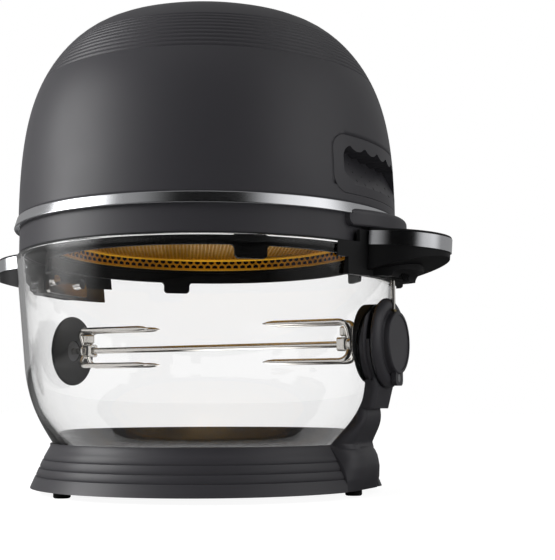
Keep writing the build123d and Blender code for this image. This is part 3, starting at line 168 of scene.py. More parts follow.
def place(name, mesh, body, node):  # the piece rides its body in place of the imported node
    piece = bpy.data.objects.new(name, mesh)
    bpy.context.scene.collection.objects.link(piece)
    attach(piece, body)
    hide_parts(node)
    return piece


def buildPiece(name, parts, material, body, node, smooth=True, merge=False):
    # parts are (grid, closeRows, closeColumns) with a grid of rows x columns x 3 in millimetres,
    # or (points, faces) for loose points with their own faces
    points, faces, total = [], [], 0
    for part in parts:
        grid = np.asarray(part[0], float)
        own = part[1] if grid.ndim == 2 else gridFaces(*grid.shape[:2], *part[1:])
        points.append(grid.reshape(-1, 3))
        faces.append(np.asarray(own) + total)
        total += len(points[-1])
    mesh = bpy.data.meshes.new(name)
    mesh.from_pydata((np.concatenate(points) * mm).tolist(), [], np.concatenate(faces).tolist())
    if merge:
        edited(mesh, merged, outward)
    dress(mesh, material, smooth)
    return place(name, mesh, body, node)


# Materials: each pattern's size is given in millimetres.
def addNode(tree, kind, settings=None, links=None):
    # one shader node: settings go to its sockets or properties, links are socket -> (node, output)
    node = tree.nodes.new("ShaderNode" + kind)
    for key, value in (settings or {}).items():
        if isinstance(key, int) or key in node.inputs:
            node.inputs[key].default_value = value
        else:
            setattr(node, key, value)
    for key, (source, output) in (links or {}).items():
        tree.links.new(source.outputs[output], node.inputs[key])
    return node


def startMaterial(name):
    material = bpy.data.materials.new(name)
    material.use_nodes = True
    material.node_tree.nodes.clear()
    return material, material.node_tree, addNode(material.node_tree, "TexCoord")


def endMaterial(tree, shader):
    addNode(tree, "OutputMaterial", links={"Surface": (shader, 0)})


plasticLook = {"drift": 60, "duller": 0.05, "glossier": 0.03, "bump": 0.35}
metalLook = {"duller": 1.3, "glossier": 0.8, "bump": 0.2}
glassLook = {"ior": 1.47, "wave": 45, "depth": 0.3, "bump": 0.03}


def mouldedPlastic(name, colour, darker, roughness, grain, depth, specular=0.5):
    # injection-moulded plastic with a spark-eroded texture: a fine even grain that breaks up the highlight,
    # and slow drifts in tone and gloss from the flow of the melt; grain is its size in millimetres
    look = plasticLook
    material, tree, where = startMaterial(name)
    fine = addNode(tree, "TexNoise", {"Scale": 1 / (grain * mm), "Detail": 2.0, "Roughness": 0.6},
                   {"Vector": (where, "Object")})
    slow = addNode(tree, "TexNoise", {"Scale": 1 / (look["drift"] * mm), "Detail": 3.0, "Roughness": 0.5},
                   {"Vector": (where, "Object")})
    tint = addNode(tree, "Mix", {"data_type": "RGBA", 6: linear(colour), 7: linear(darker)},
                   {0: (slow, "Fac")})
    gloss = addNode(tree, "MapRange", {
        "From Min": 0.3, "From Max": 0.7,
        "To Min": roughness - look["glossier"], "To Max": roughness + look["duller"],
    }, {0: (slow, "Fac")})
    bump = addNode(tree, "Bump", {"Strength": look["bump"], "Distance": depth * mm},
                   {"Height": (fine, "Fac")})
    endMaterial(tree, addNode(tree, "BsdfPrincipled", {
        "Roughness": roughness, "Specular IOR Level": specular,
    }, {"Base Color": (tint, 2), "Roughness": (gloss, 0), "Normal": (bump, 0)}))
    return material


def platedMetal(name, colour, roughness, streak, depth, stretch=(1, 1, 1)):
    # polished or brushed metal: bright reflection, faint lines left by the wheel; streak is their spacing
    # in millimetres, and stretch packs them closer along an axis
    look = metalLook
    material, tree, where = startMaterial(name)
    mapping = addNode(tree, "Mapping", {"Scale": stretch}, {"Vector": (where, "Object")})
    lines = addNode(tree, "TexNoise", {"Scale": 1 / (streak * mm), "Detail": 3.0},
                    {"Vector": (mapping, "Vector")})
    gloss = addNode(tree, "MapRange", {
        "From Min": 0.3, "From Max": 0.7,
        "To Min": roughness * look["glossier"], "To Max": roughness * look["duller"],
    }, {0: (lines, "Fac")})
    bump = addNode(tree, "Bump", {"Strength": look["bump"], "Distance": depth * mm},
                   {"Height": (lines, "Fac")})
    endMaterial(tree, addNode(tree, "BsdfPrincipled", {
        "Base Color": linear(colour), "Metallic": 1.0, "Roughness": roughness,
    }, {"Roughness": (gloss, 0), "Normal": (bump, 0)}))
    return material


def clearGlass(name):
    # pressed borosilicate: colourless, polished by the flame, with the faintest waves from the mould
    look = glassLook
    material, tree, where = startMaterial(name)
    waves = addNode(tree, "TexNoise", {"Scale": 1 / (look["wave"] * mm), "Detail": 1.0},
                    {"Vector": (where, "Object")})
    bump = addNode(tree, "Bump", {"Strength": look["bump"], "Distance": look["depth"] * mm},
                   {"Height": (waves, "Fac")})
    endMaterial(tree, addNode(tree, "BsdfPrincipled", {
        "Base Color": linear("FFFFFF"), "Roughness": 0.0, "IOR": look["ior"], "Transmission Weight": 1.0,
    }, {"Normal": (bump, 0)}))
    return material


# plastics and coatings: name, colour, darker drift, roughness, grain, depth of the grain, specular level
charcoal = mouldedPlastic("charcoalAbs", "3F3E42", "39383C", 0.42, 0.5, 0.02)  # satin, hint of violet
black = mouldedPlastic("blackPolyester", "161617", "111112", 0.5, 0.6, 0.015, 0.25)  # heatproof, flat
pale = mouldedPlastic("acetal", "E2DFD6", "D8D5CC", 0.35, 1.0, 0.01)  # waxy, off-white gears
rubber = mouldedPlastic("blackRubber", "141414", "0F0F0F", 0.75, 0.8, 0.03, 0.3)  # no highlight at all
silicone = mouldedPlastic("greySilicone", "2A2B2C", "242526", 0.6, 1.2, 0.01, 0.3)  # soft, a little dusty
enamel = mouldedPlastic("blackEnamel", "050506", "040404", 0.5, 2.0, 0.01, 0.04)  # takes nearly all light
boardLaminate = mouldedPlastic("boardLaminate", "1F6B3A", "185730", 0.4, 1.0, 0.01)  # green lacquer
panelGloss = mouldedPlastic("glossPanel", "070708", "050506", 0.08, 3.0, 0.002)  # polished like dark glass
# metals: name, colour, roughness, spacing of the lines, their depth, stretch
chrome = platedMetal("satinChrome", "E6E7EA", 0.16, 0.8, 0.004, (1, 1, 6))  # a blurred mirror
brightBolt = platedMetal("polishedChrome", "ECECEE", 0.07, 1.5, 0.002)  # near to a mirror
stainless = platedMetal("polishedStainless", "C9C6C1", 0.15, 0.6, 0.004, (6, 1, 1))  # warmer than chrome
zinc = platedMetal("galvanisedSheet", "B4B6B8", 0.35, 4.0, 0.01)  # cloudy, with large patches
steelScrew = platedMetal("zincScrew", "A9AAAC", 0.3, 0.8, 0.006)
goldCoat = platedMetal("goldCoating", "D8A32A", 0.32, 1.0, 0.01)  # deep yellow, softened by the coat
tubeSteel = platedMetal("oxidisedTube", "5A504A", 0.4, 1.5, 0.01)  # brown from the heat
brassTurned = platedMetal("tarnishedBrass", "8F8264", 0.38, 0.5, 0.004)  # dull, grey-yellow
sheetAluminium = platedMetal("stampedAluminium", "CFD0D2", 0.3, 1.2, 0.008)
glass = clearGlass("borosilicateGlass")

nodeMaterials = {
    charcoal: ["arm_support", "base_ring", "hub_housing", "gear_cap", "idle_cap", "collar", "drive_cover",
               "dome_shell", "grip_panel_right", "grip_panel_left"],
    black: ["base_plate", "hub_inner_flange", "idle_flange", "handle_bracket_right",
            "handle_bracket_left", "handle_grip_right", "handle_grip_left", "handle_top_right",
            "handle_top_left", "exhaust_grille", "power_inlet", "cooling_fan"],
    pale: ["crown_gear", "pinion", "rod_coupling", "output_coupling"],
    rubber: ["rubber_feet"],
    silicone: ["bowl_seat_ring", "hub_gaskets", "handle_gaskets", "bowl_seal"],
    enamel: ["inner_skirt"],
    boardLaminate: ["control_board"],
    panelGloss: ["touch_panel"],
    chrome: ["chrome_band", "handle_trim_right", "handle_trim_left"],
    brightBolt: ["handle_bolts"],
    stainless: ["spit_shaft", "drive_rod", "spit_fork_right", "spit_fork_left", "thumb_screw_right",
                "thumb_screw_left", "inner_strap_right", "inner_strap_left"],
    zinc: ["chassis_plate", "reflector_pan", "fan_motor", "motor_bracket", "spit_gearmotor"],
    steelScrew: ["base_screws", "cap_screw", "head_screws", "fan_shaft"],
    goldCoat: ["mesh_guard"],
    tubeSteel: ["heating_element"],
    brassTurned: ["rod_bushing"],
    sheetAluminium: ["convection_fan"],
    glass: ["glass_bowl"],
}
for material, names in nodeMaterials.items():
    for name in names:
        nodes[name].data.materials.clear()
        nodes[name].data.materials.append(material)
print("materials set on", sum(len(names) for names in nodeMaterials.values()), "nodes")

# Camera, floor and light, in metres apart from the camera's stand.
stand = {"azimuth": 28.7, "distance": 850.0, "height": 63.4, "pitch": 6.37, "turn": 25.16, "roll": 0.13,
         "lens": 71.9}  # degrees and millimetres
direction = math.radians(stand["azimuth"])
cameraData = bpy.data.cameras.new("camera")
cameraData.lens = stand["lens"]
camera = bpy.data.objects.new("camera", cameraData)
bpy.context.scene.collection.objects.link(camera)
camera.location = (stand["distance"] * math.sin(direction) * mm,
                   -stand["distance"] * math.cos(direction) * mm, stand["height"] * mm)
camera.rotation_euler = tuple(math.radians(a) for a in (90 + stand["pitch"], stand["roll"], stand["turn"]))
bpy.context.scene.camera = camera
bpy.context.scene.view_settings.view_transform = "Standard"

room = {"floorSize": 12.0, "paper": "F2F2F2", "bounce": "A0A0A0", "mirrored": "747474", "fibre": 4,
        "floorGlow": 1.42, "floorShare": 0.65, "white": 1.0, "fill": 0.38, "gloss": 0.29}


def straightRay(tree, path):
    # 1 for what the eye meets directly or through the glass, 0 for what the near wall of the glass mirrors
    # from inside itself: that ray was thrown back once and crossed the surface of the glass only twice
    direct = addNode(tree, "Math", {"operation": "LESS_THAN", 1: 0.5}, {0: (path, "Glossy Depth")})
    deeper = addNode(tree, "Math", {"operation": "GREATER_THAN", 1: 2.5},
                     {0: (path, "Transmission Depth")})
    either = addNode(tree, "Math", {"operation": "MAXIMUM"}, {0: (direct, 0), 1: (deeper, 0)})
    clear = addNode(tree, "Math", {"operation": "MULTIPLY"},
                    {0: (path, "Is Transmission Ray"), 1: (either, 0)})
    return addNode(tree, "Math", {"operation": "MAXIMUM"}, {0: (path, "Is Camera Ray"), 1: (clear, 0)})


def addFloor():
    # pale paper that keeps the shadow and meets the white background, greyer in what it throws back
    half = room["floorSize"] / 2
    mesh = bpy.data.meshes.new("floor")
    corners = [(-half, -half, 0), (half, -half, 0), (half, half, 0), (-half, half, 0)]
    mesh.from_pydata(corners, [], [(0, 1, 2, 3)])
    material, tree, where = startMaterial("palePaper")
    fibre = addNode(tree, "TexNoise", {"Scale": 1 / (room["fibre"] * mm)},
                    {"Vector": (where, "Object")})
    bump = addNode(tree, "Bump", {"Strength": 0.05, "Distance": 0.05 * mm}, {"Height": (fibre, "Fac")})
    path = addNode(tree, "LightPath")
    straight = straightRay(tree, path)
    tone = addNode(tree, "Mix", {"data_type": "RGBA", 6: linear(room["bounce"]), 7: linear(room["paper"])},
                   {0: (straight, 0)})
    mirrored = addNode(tree, "Mix", {"data_type": "RGBA", 7: linear(room["mirrored"])},
                       {0: (path, "Is Glossy Ray"), 6: (tone, 2)})
    paper = addNode(tree, "BsdfPrincipled", {"Roughness": 0.9, "Specular IOR Level": 0.1},
                    {"Base Color": (mirrored, 2), "Normal": (bump, 0)})
    glow = addNode(tree, "Emission", {"Color": (1, 1, 1, 1), "Strength": room["floorGlow"]})
    share = addNode(tree, "Math", {"operation": "MULTIPLY", 1: room["floorShare"]}, {0: (straight, 0)})
    endMaterial(tree, addNode(tree, "MixShader", links={0: (share, 0), 1: (paper, 0), 2: (glow, 0)}))
    mesh.materials.append(material)
    floor = bpy.data.objects.new("floor", mesh)
    bpy.context.scene.collection.objects.link(floor)


def addWorld():  # white to the eye, a plain level for diffuse rays and another for mirrored ones
    world = bpy.data.worlds.new("studio")
    bpy.context.scene.world = world
    world.use_nodes = True
    tree = world.node_tree
    tree.nodes.clear()
    path = addNode(tree, "LightPath")
    straight = straightRay(tree, path)
    shine = addNode(tree, "MapRange", {"To Min": room["fill"], "To Max": room["gloss"]},
                    {0: (path, "Is Glossy Ray")})
    strength = addNode(tree, "MapRange", {"To Max": room["white"]}, {0: (straight, 0), 3: (shine, 0)})
    back = addNode(tree, "Background", {"Color": (1, 1, 1, 1)}, {"Strength": (strength, 0)})
    addNode(tree, "OutputWorld", links={"Surface": (back, "Background")})


middle = (0, 0, 0.18)
softboxes = [  # position and size in metres, power in watts, edge is the share of the cloth that fades
    {"name": "keyLeft", "where": (-1.0, -0.75, 0.55), "aim": middle, "size": (1.2, 1.3), "power": 26,
     "edge": 0.8},
    {"name": "frontLeft", "where": (-0.55, -1.05, 0.6), "aim": middle, "size": (0.7, 0.7), "power": 13,
     "edge": 0.8, "glossy": False},
    {"name": "rightFill", "where": (1.14, 0.2, 0.55), "aim": middle, "size": (1.0, 1.3), "power": 3.0,
     "edge": 0.8, "glossy": False},
    {"name": "rightShine", "where": (1.35, -0.05, 0.75), "aim": middle, "size": (1.9, 2.0), "power": 12,
     "edge": 0.8, "diffuse": False},
    {"name": "underGuard", "where": (0, 0, 0.05), "aim": (0, 0, 0.2), "size": (0.12, 0.12), "power": 0.1,
     "edge": 0.4},
    {"name": "lowFill", "where": (1.0, -0.5, 0.12), "aim": (0.1, 0, 0.1), "size": (0.8, 0.4), "power": 8,
     "edge": 0.8, "glossy": False},
]


def addSoftbox(name, where, aim, size, power, edge, glossy=True, diffuse=True):
    # a lit cloth that fades over its outer part: brightness = fade(across) x fade(up), with
    # fade(t) = smoothstep(1 - |2t - 1|, 0, edge)
    lamp = bpy.data.lights.new(name, "AREA")
    lamp.shape = "RECTANGLE"
    lamp.size, lamp.size_y = size
    lamp.energy = power
    lamp.use_nodes = True
    tree = lamp.node_tree
    tree.nodes.clear()
    geometry = addNode(tree, "NewGeometry")
    parts = addNode(tree, "SeparateXYZ", links={0: (geometry, "Parametric")})
    fades = []
    for axis in (0, 1):
        off = addNode(tree, "Math", {"operation": "SUBTRACT", 1: 0.5}, {0: (parts, axis)})
        away = addNode(tree, "Math", {"operation": "ABSOLUTE"}, {0: (off, 0)})
        fades.append(addNode(tree, "MapRange", {
            "interpolation_type": "SMOOTHSTEP", "From Min": 0.5, "From Max": 0.5 - edge / 2,
        }, {0: (away, 0)}))
    both = addNode(tree, "Math", {"operation": "MULTIPLY"}, {0: (fades[0], 0), 1: (fades[1], 0)})
    shine = addNode(tree, "Emission", {"Color": (1, 1, 1, 1)}, {"Strength": (both, 0)})
    addNode(tree, "OutputLight", links={"Surface": (shine, "Emission")})
    box = bpy.data.objects.new(name, lamp)
    bpy.context.scene.collection.objects.link(box)
    box.location = where
    box.rotation_euler = (Vector(aim) - Vector(where)).to_track_quat("-Z", "Y").to_euler()
    box.visible_camera = box.visible_transmission = False
    box.visible_glossy, box.visible_diffuse = glossy, diffuse


hung = {"first": -52, "last": 85, "radius": 1.9, "height": 2.3, "columns": 65, "edge": 0.25}


def hungCloth():
    # an upright arc behind the camera: angles in degrees to the right of the camera's own direction
    h = hung
    way = np.radians(stand["azimuth"] + np.linspace(h["first"], h["last"], h["columns"]))
    rows = np.array([0.0, h["height"]])[:, None]
    return np.stack([h["radius"] * np.sin(way) + 0 * rows, -h["radius"] * np.cos(way) + 0 * rows,
                     rows + 0 * way], -1)


def addFlag(name, grid, edge):
    # black cloth that keeps light off the object; its first and last parts across are sheer, so that it
    # ends softly: cover = smoothstep(min(t, 1 - t) / edge)
    mesh = bpy.data.meshes.new(name)
    mesh.from_pydata(grid.reshape(-1, 3).tolist(), [], gridFaces(*grid.shape[:2]).tolist())
    across = np.linspace(0, 1, grid.shape[1])
    share = eased(np.clip(np.minimum(across, 1 - across) / edge, 0, 1))
    cover = mesh.attributes.new("cover", "FLOAT", "POINT")
    cover.data.foreach_set("value", np.tile(share, grid.shape[0]).astype(np.float32))
    material, tree, where = startMaterial("blackCloth")
    weave = addNode(tree, "TexNoise", {"Scale": 1 / (2 * mm)}, {"Vector": (where, "Object")})
    bump = addNode(tree, "Bump", {"Strength": 0.1, "Distance": 0.1 * mm}, {"Height": (weave, "Fac")})
    cloth = addNode(tree, "BsdfPrincipled", {
        "Base Color": linear("101010"), "Roughness": 1.0, "Specular IOR Level": 0.0}, {"Normal": (bump, 0)})
    sheer = addNode(tree, "BsdfTransparent")
    amount = addNode(tree, "Attribute", {"attribute_name": "cover"})
    endMaterial(tree, addNode(tree, "MixShader",
                              links={0: (amount, "Fac"), 1: (sheer, 0), 2: (cloth, 0)}))
    mesh.materials.append(material)
    flag = bpy.data.objects.new(name, mesh)
    bpy.context.scene.collection.objects.link(flag)
    flag.visible_camera = flag.visible_transmission = False


addFloor()
addWorld()
addFlag("darkCloth", hungCloth(), hung["edge"])
for softbox in softboxes:
    addSoftbox(**softbox)
print("camera, floor and light ready")

# Dome shell: a turned wall with windows for what is set into it.
domeHigh = span("dome_shell")[1]
bandLow, bandHigh = span("chrome_band")
dome = {"radius": domeHigh[1], "low": bandHigh[2], "top": domeHigh[2], "flat": 50.0, "wall": 3.0,
        "side": [(0, 0), (1.7, 0.303), (12.1, 0.631), (33.2, 0.857), (54.4, 0.962)],  # (inset, height share)
        "grooveStart": 103.5, "groovePitch": 3.75, "grooves": 10, "grooveDepth": 0.9, "grooveWidth": 2.0,
        "columns": 360}
windowNodes = [  # node, its direction from the axis, which of its sides runs across, corner radius
    ("grip_panel_right", 0.0, 1, 12.3), ("grip_panel_left", math.pi, 1, 12.3),
    ("exhaust_grille", math.pi / 2, 0, 4.3), ("power_inlet", math.pi / 2, 0, 3.3),
]
windowCut = {"gap": 0.3, "reach": 0.837, "facing": 1.2, "probe": 0.05}  # points within reach join the edge


def domeProfile():
    # clamped cubic spline from the lower edge to the flat top, dented where the grooves run
    d = dome
    height = d["top"] - d["low"]
    knots = [(d["radius"] - inset, d["low"] + share * height) for inset, share in d["side"]]
    fine = clampedSpline(knots + [(d["flat"], d["top"])], (0, 1), (-1, 0), 3000)
    length = np.concatenate([[0], np.cumsum(np.hypot(*np.diff(fine, axis=0).T))])
    start = d["grooveStart"]
    end = start + d["groovePitch"] * (d["grooves"] - 1) + 3
    stops = np.concatenate([  # distances along the wall, eight to a groove
        np.linspace(0, 5, 4), np.linspace(6.5, 48, 28), np.linspace(51, start - 3, 14),
        np.arange(start - 2.4, end, d["groovePitch"] / 8), np.linspace(end + 1.5, length[-1], 12),
    ])
    path = np.stack([np.interp(stops, length, fine[:, k]) for k in (0, 1)], 1)
    inward = beside(path, 1.0) - path
    phase = (stops - start) / d["groovePitch"]
    near = np.abs(phase - np.clip(np.round(phase), 0, d["grooves"] - 1)) * d["groovePitch"]
    dent = d["grooveDepth"] * np.clip(1 - near / (d["grooveWidth"] / 2), 0, 1) ** 0.8
    return path + inward * dent[:, None]


def roundedBox(y, z, half, low, high, corner):  # signed distance to a rectangle with round corners
    qy = np.abs(y) - half + corner
    qz = np.abs(z - (low + high) / 2) - (high - low) / 2 + corner
    return np.hypot(np.maximum(qy, 0), np.maximum(qz, 0)) + np.minimum(np.maximum(qy, qz), 0) - corner


def windowShape(node, across, corner):  # half width, low, high and corner of the opening round a node
    low, high = span(node)
    gap = windowCut["gap"]
    return (high[across] - low[across]) / 2 + gap, low[2] - gap, high[2] + gap, corner


def cutWindows(profile, angle, windows):
    # the turned wall without its windows: points near a window's outline are moved onto it, along the wall
    w = windowCut
    r = profile[:, 0][:, None] + 0 * angle
    z = profile[:, 1][:, None] + 0 * angle
    phi = angle + 0 * r
    side = np.ones_like(r)  # below 0 inside a window, 0 on its edge
    for centre, shape in windows:
        turn = (phi - centre + math.pi) % (2 * math.pi) - math.pi
        facing = np.abs(turn) < w["facing"]
        y = r * np.sin(turn)
        d = roundedBox(y, z, *shape)
        gy = (roundedBox(y + w["probe"], z, *shape) - d) / w["probe"]
        gz = (roundedBox(y, z + w["probe"], *shape) - d) / w["probe"]
        snap = facing & (np.abs(d) < w["reach"])
        yNew, zNew = y - d * gy, z - d * gz
        rNew = np.interp(zNew, profile[:, 1], profile[:, 0])
        phi = np.where(snap, centre + np.arcsin(np.clip(yNew / rNew, -1, 1)), phi)
        z = np.where(snap, zNew, z)
        r = np.where(snap, rNew, r)
        side = np.where(snap, 0, np.where(facing & (d < 0), -1, side))
    grid = np.stack([r * np.cos(phi), r * np.sin(phi), z], -1)
    faces = gridFaces(*r.shape, False, True)
    marks = side.reshape(-1)[faces]
    whole = (marks >= 0).all(1) & (marks > 0).any(1)
    kept = faces[whole].tolist()
    for a in range(4):  # a cell with one corner inside and its neighbours on the edge keeps its outer half
        b, c, e = (a + 1) % 4, (a + 2) % 4, (a + 3) % 4
        halved = (marks[:, a] < 0) & (marks[:, b] == 0) & (marks[:, e] == 0) & (marks[:, c] > 0)
        kept += faces[halved][:, [b, c, e]].tolist()
    return grid.reshape(-1, 3), kept


def addDome():
    columns = dome["columns"]
    windows = [(centre, windowShape(node, across, corner)) for node, centre, across, corner in windowNodes]
    angle = np.linspace(0, 2 * math.pi, columns, endpoint=False)
    points, faces = cutWindows(domeProfile(), angle, windows)
    ring = len(points) - columns + np.arange(columns)
    faces += np.stack([ring, np.roll(ring, -1), np.full(columns, len(points))], 1).tolist()  # the flat top
    points = np.vstack([points, [0, 0, dome["top"]]])
    mesh = bpy.data.meshes.new("domeShell")
    mesh.from_pydata((points * mm).tolist(), [], faces)
    edited(mesh, trimmed)
    dress(mesh, charcoal)
    shell = place("domeShell", mesh, "head", "dome_shell")
    wall = shell.modifiers.new("wall", "SOLIDIFY")
    wall.thickness, wall.offset = dome["wall"] * mm, -1


addDome()
print("dome built")

# Chrome band, turned.
band = {"outer": bandHigh[1], "inner": dome["radius"] - 3.2, "lean": 2.3, "edge": 0.7, "hidden": 0.3}
bandProfile = roundedPath([
    (band["inner"], bandLow[2], band["hidden"]), (band["outer"], bandLow[2], band["edge"]),
    (band["outer"] - band["lean"], bandHigh[2], band["edge"]), (band["inner"], bandHigh[2], band["hidden"]),
])
buildPiece("chromeBand", [(turned(bandProfile, 256), True, True)],
           chrome, "head", "chrome_band")

# Glass bowl, turned.
bowlLow, bowlHigh = span("glass_bowl")
bowl = {"floor": bowlLow[2], "rim": bowlHigh[2], "rimRadius": bowlHigh[1], "flat": 75.0, "wall": 4.0,
        "straightRadius": 135.4, "straightLift": 79.0, "heel": 2.2, "heelHeight": 60.0,
        "corner": [(34.4, 7.5), (21.4, 23.0), (9.4, 43.8)]}  # (inset, lift) of the knots round the corner


def addBowl():
    # outer side: the flat floor's edge, a splined corner, then the leaning straight side; the inner side is
    # beside it by the wall's thickness, which swells towards the floor as pressed glass does
    b = bowl
    start = np.array([b["straightRadius"], b["floor"] + b["straightLift"]])
    way = np.array([b["rimRadius"], b["rim"]]) - start
    knots = [(b["flat"], b["floor"])]
    knots += [(b["straightRadius"] - inset, b["floor"] + lift) for inset, lift in b["corner"]]
    corner = clampedSpline(knots + [tuple(start)], (1, 0), way, 40)
    outer = np.vstack([corner, start + way * np.linspace(0, 1, 14)[1:, None]])
    low = np.clip((b["heelHeight"] - outer[:, 1]) / (b["heelHeight"] - b["floor"]), 0, 1)
    wall = b["wall"] + b["heel"] * eased(low)
    inner = outer + (beside(outer, 1.0) - outer) * wall[:, None]
    half = b["wall"] / 2
    lip = b["rim"] - half  # the rim is a half circle above this height
    arc = np.linspace(0, math.pi, 11)
    rim = np.stack([b["rimRadius"] - half + half * np.cos(arc), lip + half * np.sin(arc)], 1)
    floorOut = np.stack([np.linspace(0, b["flat"], 6)[:-1], np.full(5, b["floor"])], 1)
    floorIn = floorOut[::-1] + [0, wall[0]]
    loop = np.vstack([floorOut, outer[outer[:, 1] < lip], rim, inner[inner[:, 1] < lip][::-1], floorIn])
    buildPiece("glassBowl", [(turned(loop, 256), False, True)],
               glass, "bowl", "glass_bowl", merge=True)


addBowl()
print("band and glass bowl built")

# Mesh guard: a turned lip and rim with honeycombs between them.
guardLow, guardHigh = span("mesh_guard")
guard = {"radius": 114.0, "flange": guardHigh[1], "low": guardLow[2], "high": guardHigh[2], "sheet": 0.9,
         "wallCells": 118, "wallRows": 2, "topPitch": 3.4, "hole": 0.72}


def honeycomb(centres, width, height, lay):
    # each cell is a ring between its own six-sided outline and a smaller one, on both faces of the sheet,
    # with the hole's edge between them; lay(across, up, depth) puts a point of the flat sheet in space
    turn = np.radians(90 + 60 * np.arange(6))
    shape = np.stack([width / math.sqrt(3) * np.cos(turn), height / 2 * np.sin(turn)], -1)
    flat = centres[:, None] + np.vstack([shape, shape * guard["hole"]])
    points = np.stack([lay(flat[..., 0], flat[..., 1], depth) for depth in (0.0, guard["sheet"])], 1)
    k = np.arange(6)
    n = (k + 1) % 6
    ring = np.concatenate([
        np.stack([k, n, n + 6, k + 6], -1), np.stack([k + 18, n + 18, n + 12, k + 12], -1),
        np.stack([k + 6, n + 6, n + 18, k + 18], -1),
    ])
    return points.reshape(-1, 3), (ring + 24 * np.arange(len(centres))[:, None, None]).reshape(-1, 4)


def cells(columns, rows):  # centres of a honeycomb one unit wide: odd rows stand half a cell further on
    j, i = np.meshgrid(rows, columns, indexing="ij")
    return (i + 0.5 * (j % 2)).ravel(), j.ravel()


def addGuard():
    g = guard
    radius, low, high = g["radius"], g["low"], g["high"]
    middleRadius = radius + g["sheet"] / 2
    width = 2 * math.pi / g["wallCells"] * middleRadius
    rise = (high - low - 0.2) / (1 + 0.75 * (g["wallRows"] - 1))
    across, row = cells(np.arange(g["wallCells"]), np.arange(g["wallRows"]))
    wallCentres = np.stack([across * width, low + rise * (0.5 + 0.75 * row)], -1)
    pitch = g["topPitch"]
    reach = radius - 0.6 * pitch
    count = int(reach / pitch) + 2
    across, row = cells(np.arange(-count, count + 1), np.arange(-count, count + 1))
    topCentres = np.stack([across * pitch, row * pitch * math.sqrt(3) / 2], -1)
    topCentres = topCentres[np.hypot(*topCentres.T) < reach]

    def onWall(across, up, depth):
        angle = across / middleRadius
        return np.stack([(radius + depth) * np.cos(angle), (radius + depth) * np.sin(angle), up], -1)

    def onTop(across, up, depth):
        return np.stack([across, up, 0 * up + high - 0.05 - g["sheet"] + depth], -1)

    outside, inside = radius + 0.95, radius - 0.05
    lip = roundedPath([
        (radius, low, 0.2), (g["flange"], low, 0.2), (g["flange"], low + g["sheet"], 0.2),
        (outside, low + g["sheet"], 0.2), (outside, low + 1.9, 0.2), (inside, low + 1.9, 0.2),
        (inside, low + 0.2, 0.1),
    ], steps=2)
    rim = roundedPath([
        (radius - 4, high - 1.0, 0.1), (radius - 0.3, high - 1.0, 0.4), (inside, high - 2.2, 0.1),
        (outside, high - 2.2, 0.2), (outside, high, 0.8), (radius - 4, high, 0.1),
    ], steps=3)
    parts = [
        honeycomb(wallCentres, width, rise, onWall),
        honeycomb(topCentres, pitch, pitch * 2 / math.sqrt(3), onTop),
        (turned(lip, 192), True, True), (turned(rim, 192), True, True),
    ]
    buildPiece("meshGuard", parts, goldCoat, "head", "mesh_guard", smooth=False)


addGuard()
print("mesh guard built")

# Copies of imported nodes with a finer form.
arm = {"from": 110.0, "to": 123.0, "top": 36.3,
       "faceShift": [(4.5, -2.4), (7.7, -1.2), (12.4, 0.95), (20.2, 2.75), (28.1, 3.4), (32.0, 2.8),
                     (36.0, 0.6)]}  # (height, shift)
baseSteps = {"ledges": [(4.5, 4.5), (13.6, 12.8), (19.2, 18.5), (24.5, 24.5), (36.0, 36.0)],  # (old, new)
             "bore": 105.0, "endLimit": 124.6}
idleSide = {"gasketWas": 26.8, "gasketRadius": 13.0, "spigot": 12.0}
spitLevel = (span("spit_shaft")[0][2] + span("spit_shaft")[1][2]) / 2


def reshapedNode(name, node, body, change):
    # a copy of a node's mesh, its corners moved: new points = change(points), in millimetres
    mesh = nodes[node].data.copy()
    mesh.name = name
    edited(mesh, merged)
    points = np.empty(len(mesh.vertices) * 3)
    mesh.vertices.foreach_get("co", points)
    mesh.vertices.foreach_set("co", (change(points.reshape(-1, 3) / mm) * mm).ravel())
    place(name, mesh, body, node)


def fullerFoot(p):
    # x += shift(z) * smoothstep((x - from) / (to - from)) for what is no higher than the base
    heights, shifts = np.array(arm["faceShift"]).T
    share = eased(np.clip((p[:, 0] - arm["from"]) / (arm["to"] - arm["from"]), 0, 1))
    p[:, 0] += np.where(p[:, 2] < arm["top"], np.interp(p[:, 2], heights, shifts) * share, 0)
    return p


def finerRing(p):
    # z -> its new height from the table, outside the bore; x <= endLimit beside the foot
    old, new = np.array(baseSteps["ledges"]).T
    outside = np.hypot(p[:, 0], p[:, 1]) > baseSteps["bore"]
    p[:, 2] = np.where(outside, np.interp(p[:, 2], old, new), p[:, 2])
    p[:, 0] = np.minimum(p[:, 0], baseSteps["endLimit"])
    return p


def slimmerGasket(p):
    # on the idle side, beyond the spigot: distance from the spit's axis drawn in, old radius to new
    old, new, spigot = idleSide["gasketWas"], idleSide["gasketRadius"], idleSide["spigot"]
    z = p[:, 2] - spitLevel
    r = np.hypot(p[:, 1], z)
    near = spigot + (r - spigot) * (new - spigot) / (old - spigot)
    scale = np.where((p[:, 0] < 0) & (r > spigot), near / np.maximum(r, 1e-6), 1.0)
    p[:, 1] *= scale
    p[:, 2] = spitLevel + z * scale
    return p


reshapedNode("armSupport", "arm_support", "base", fullerFoot)
reshapedNode("baseRing", "base_ring", "base", finerRing)
reshapedNode("hubGaskets", "hub_gaskets", "bowl", slimmerGasket)
print("arm, ring and gaskets reshaped")

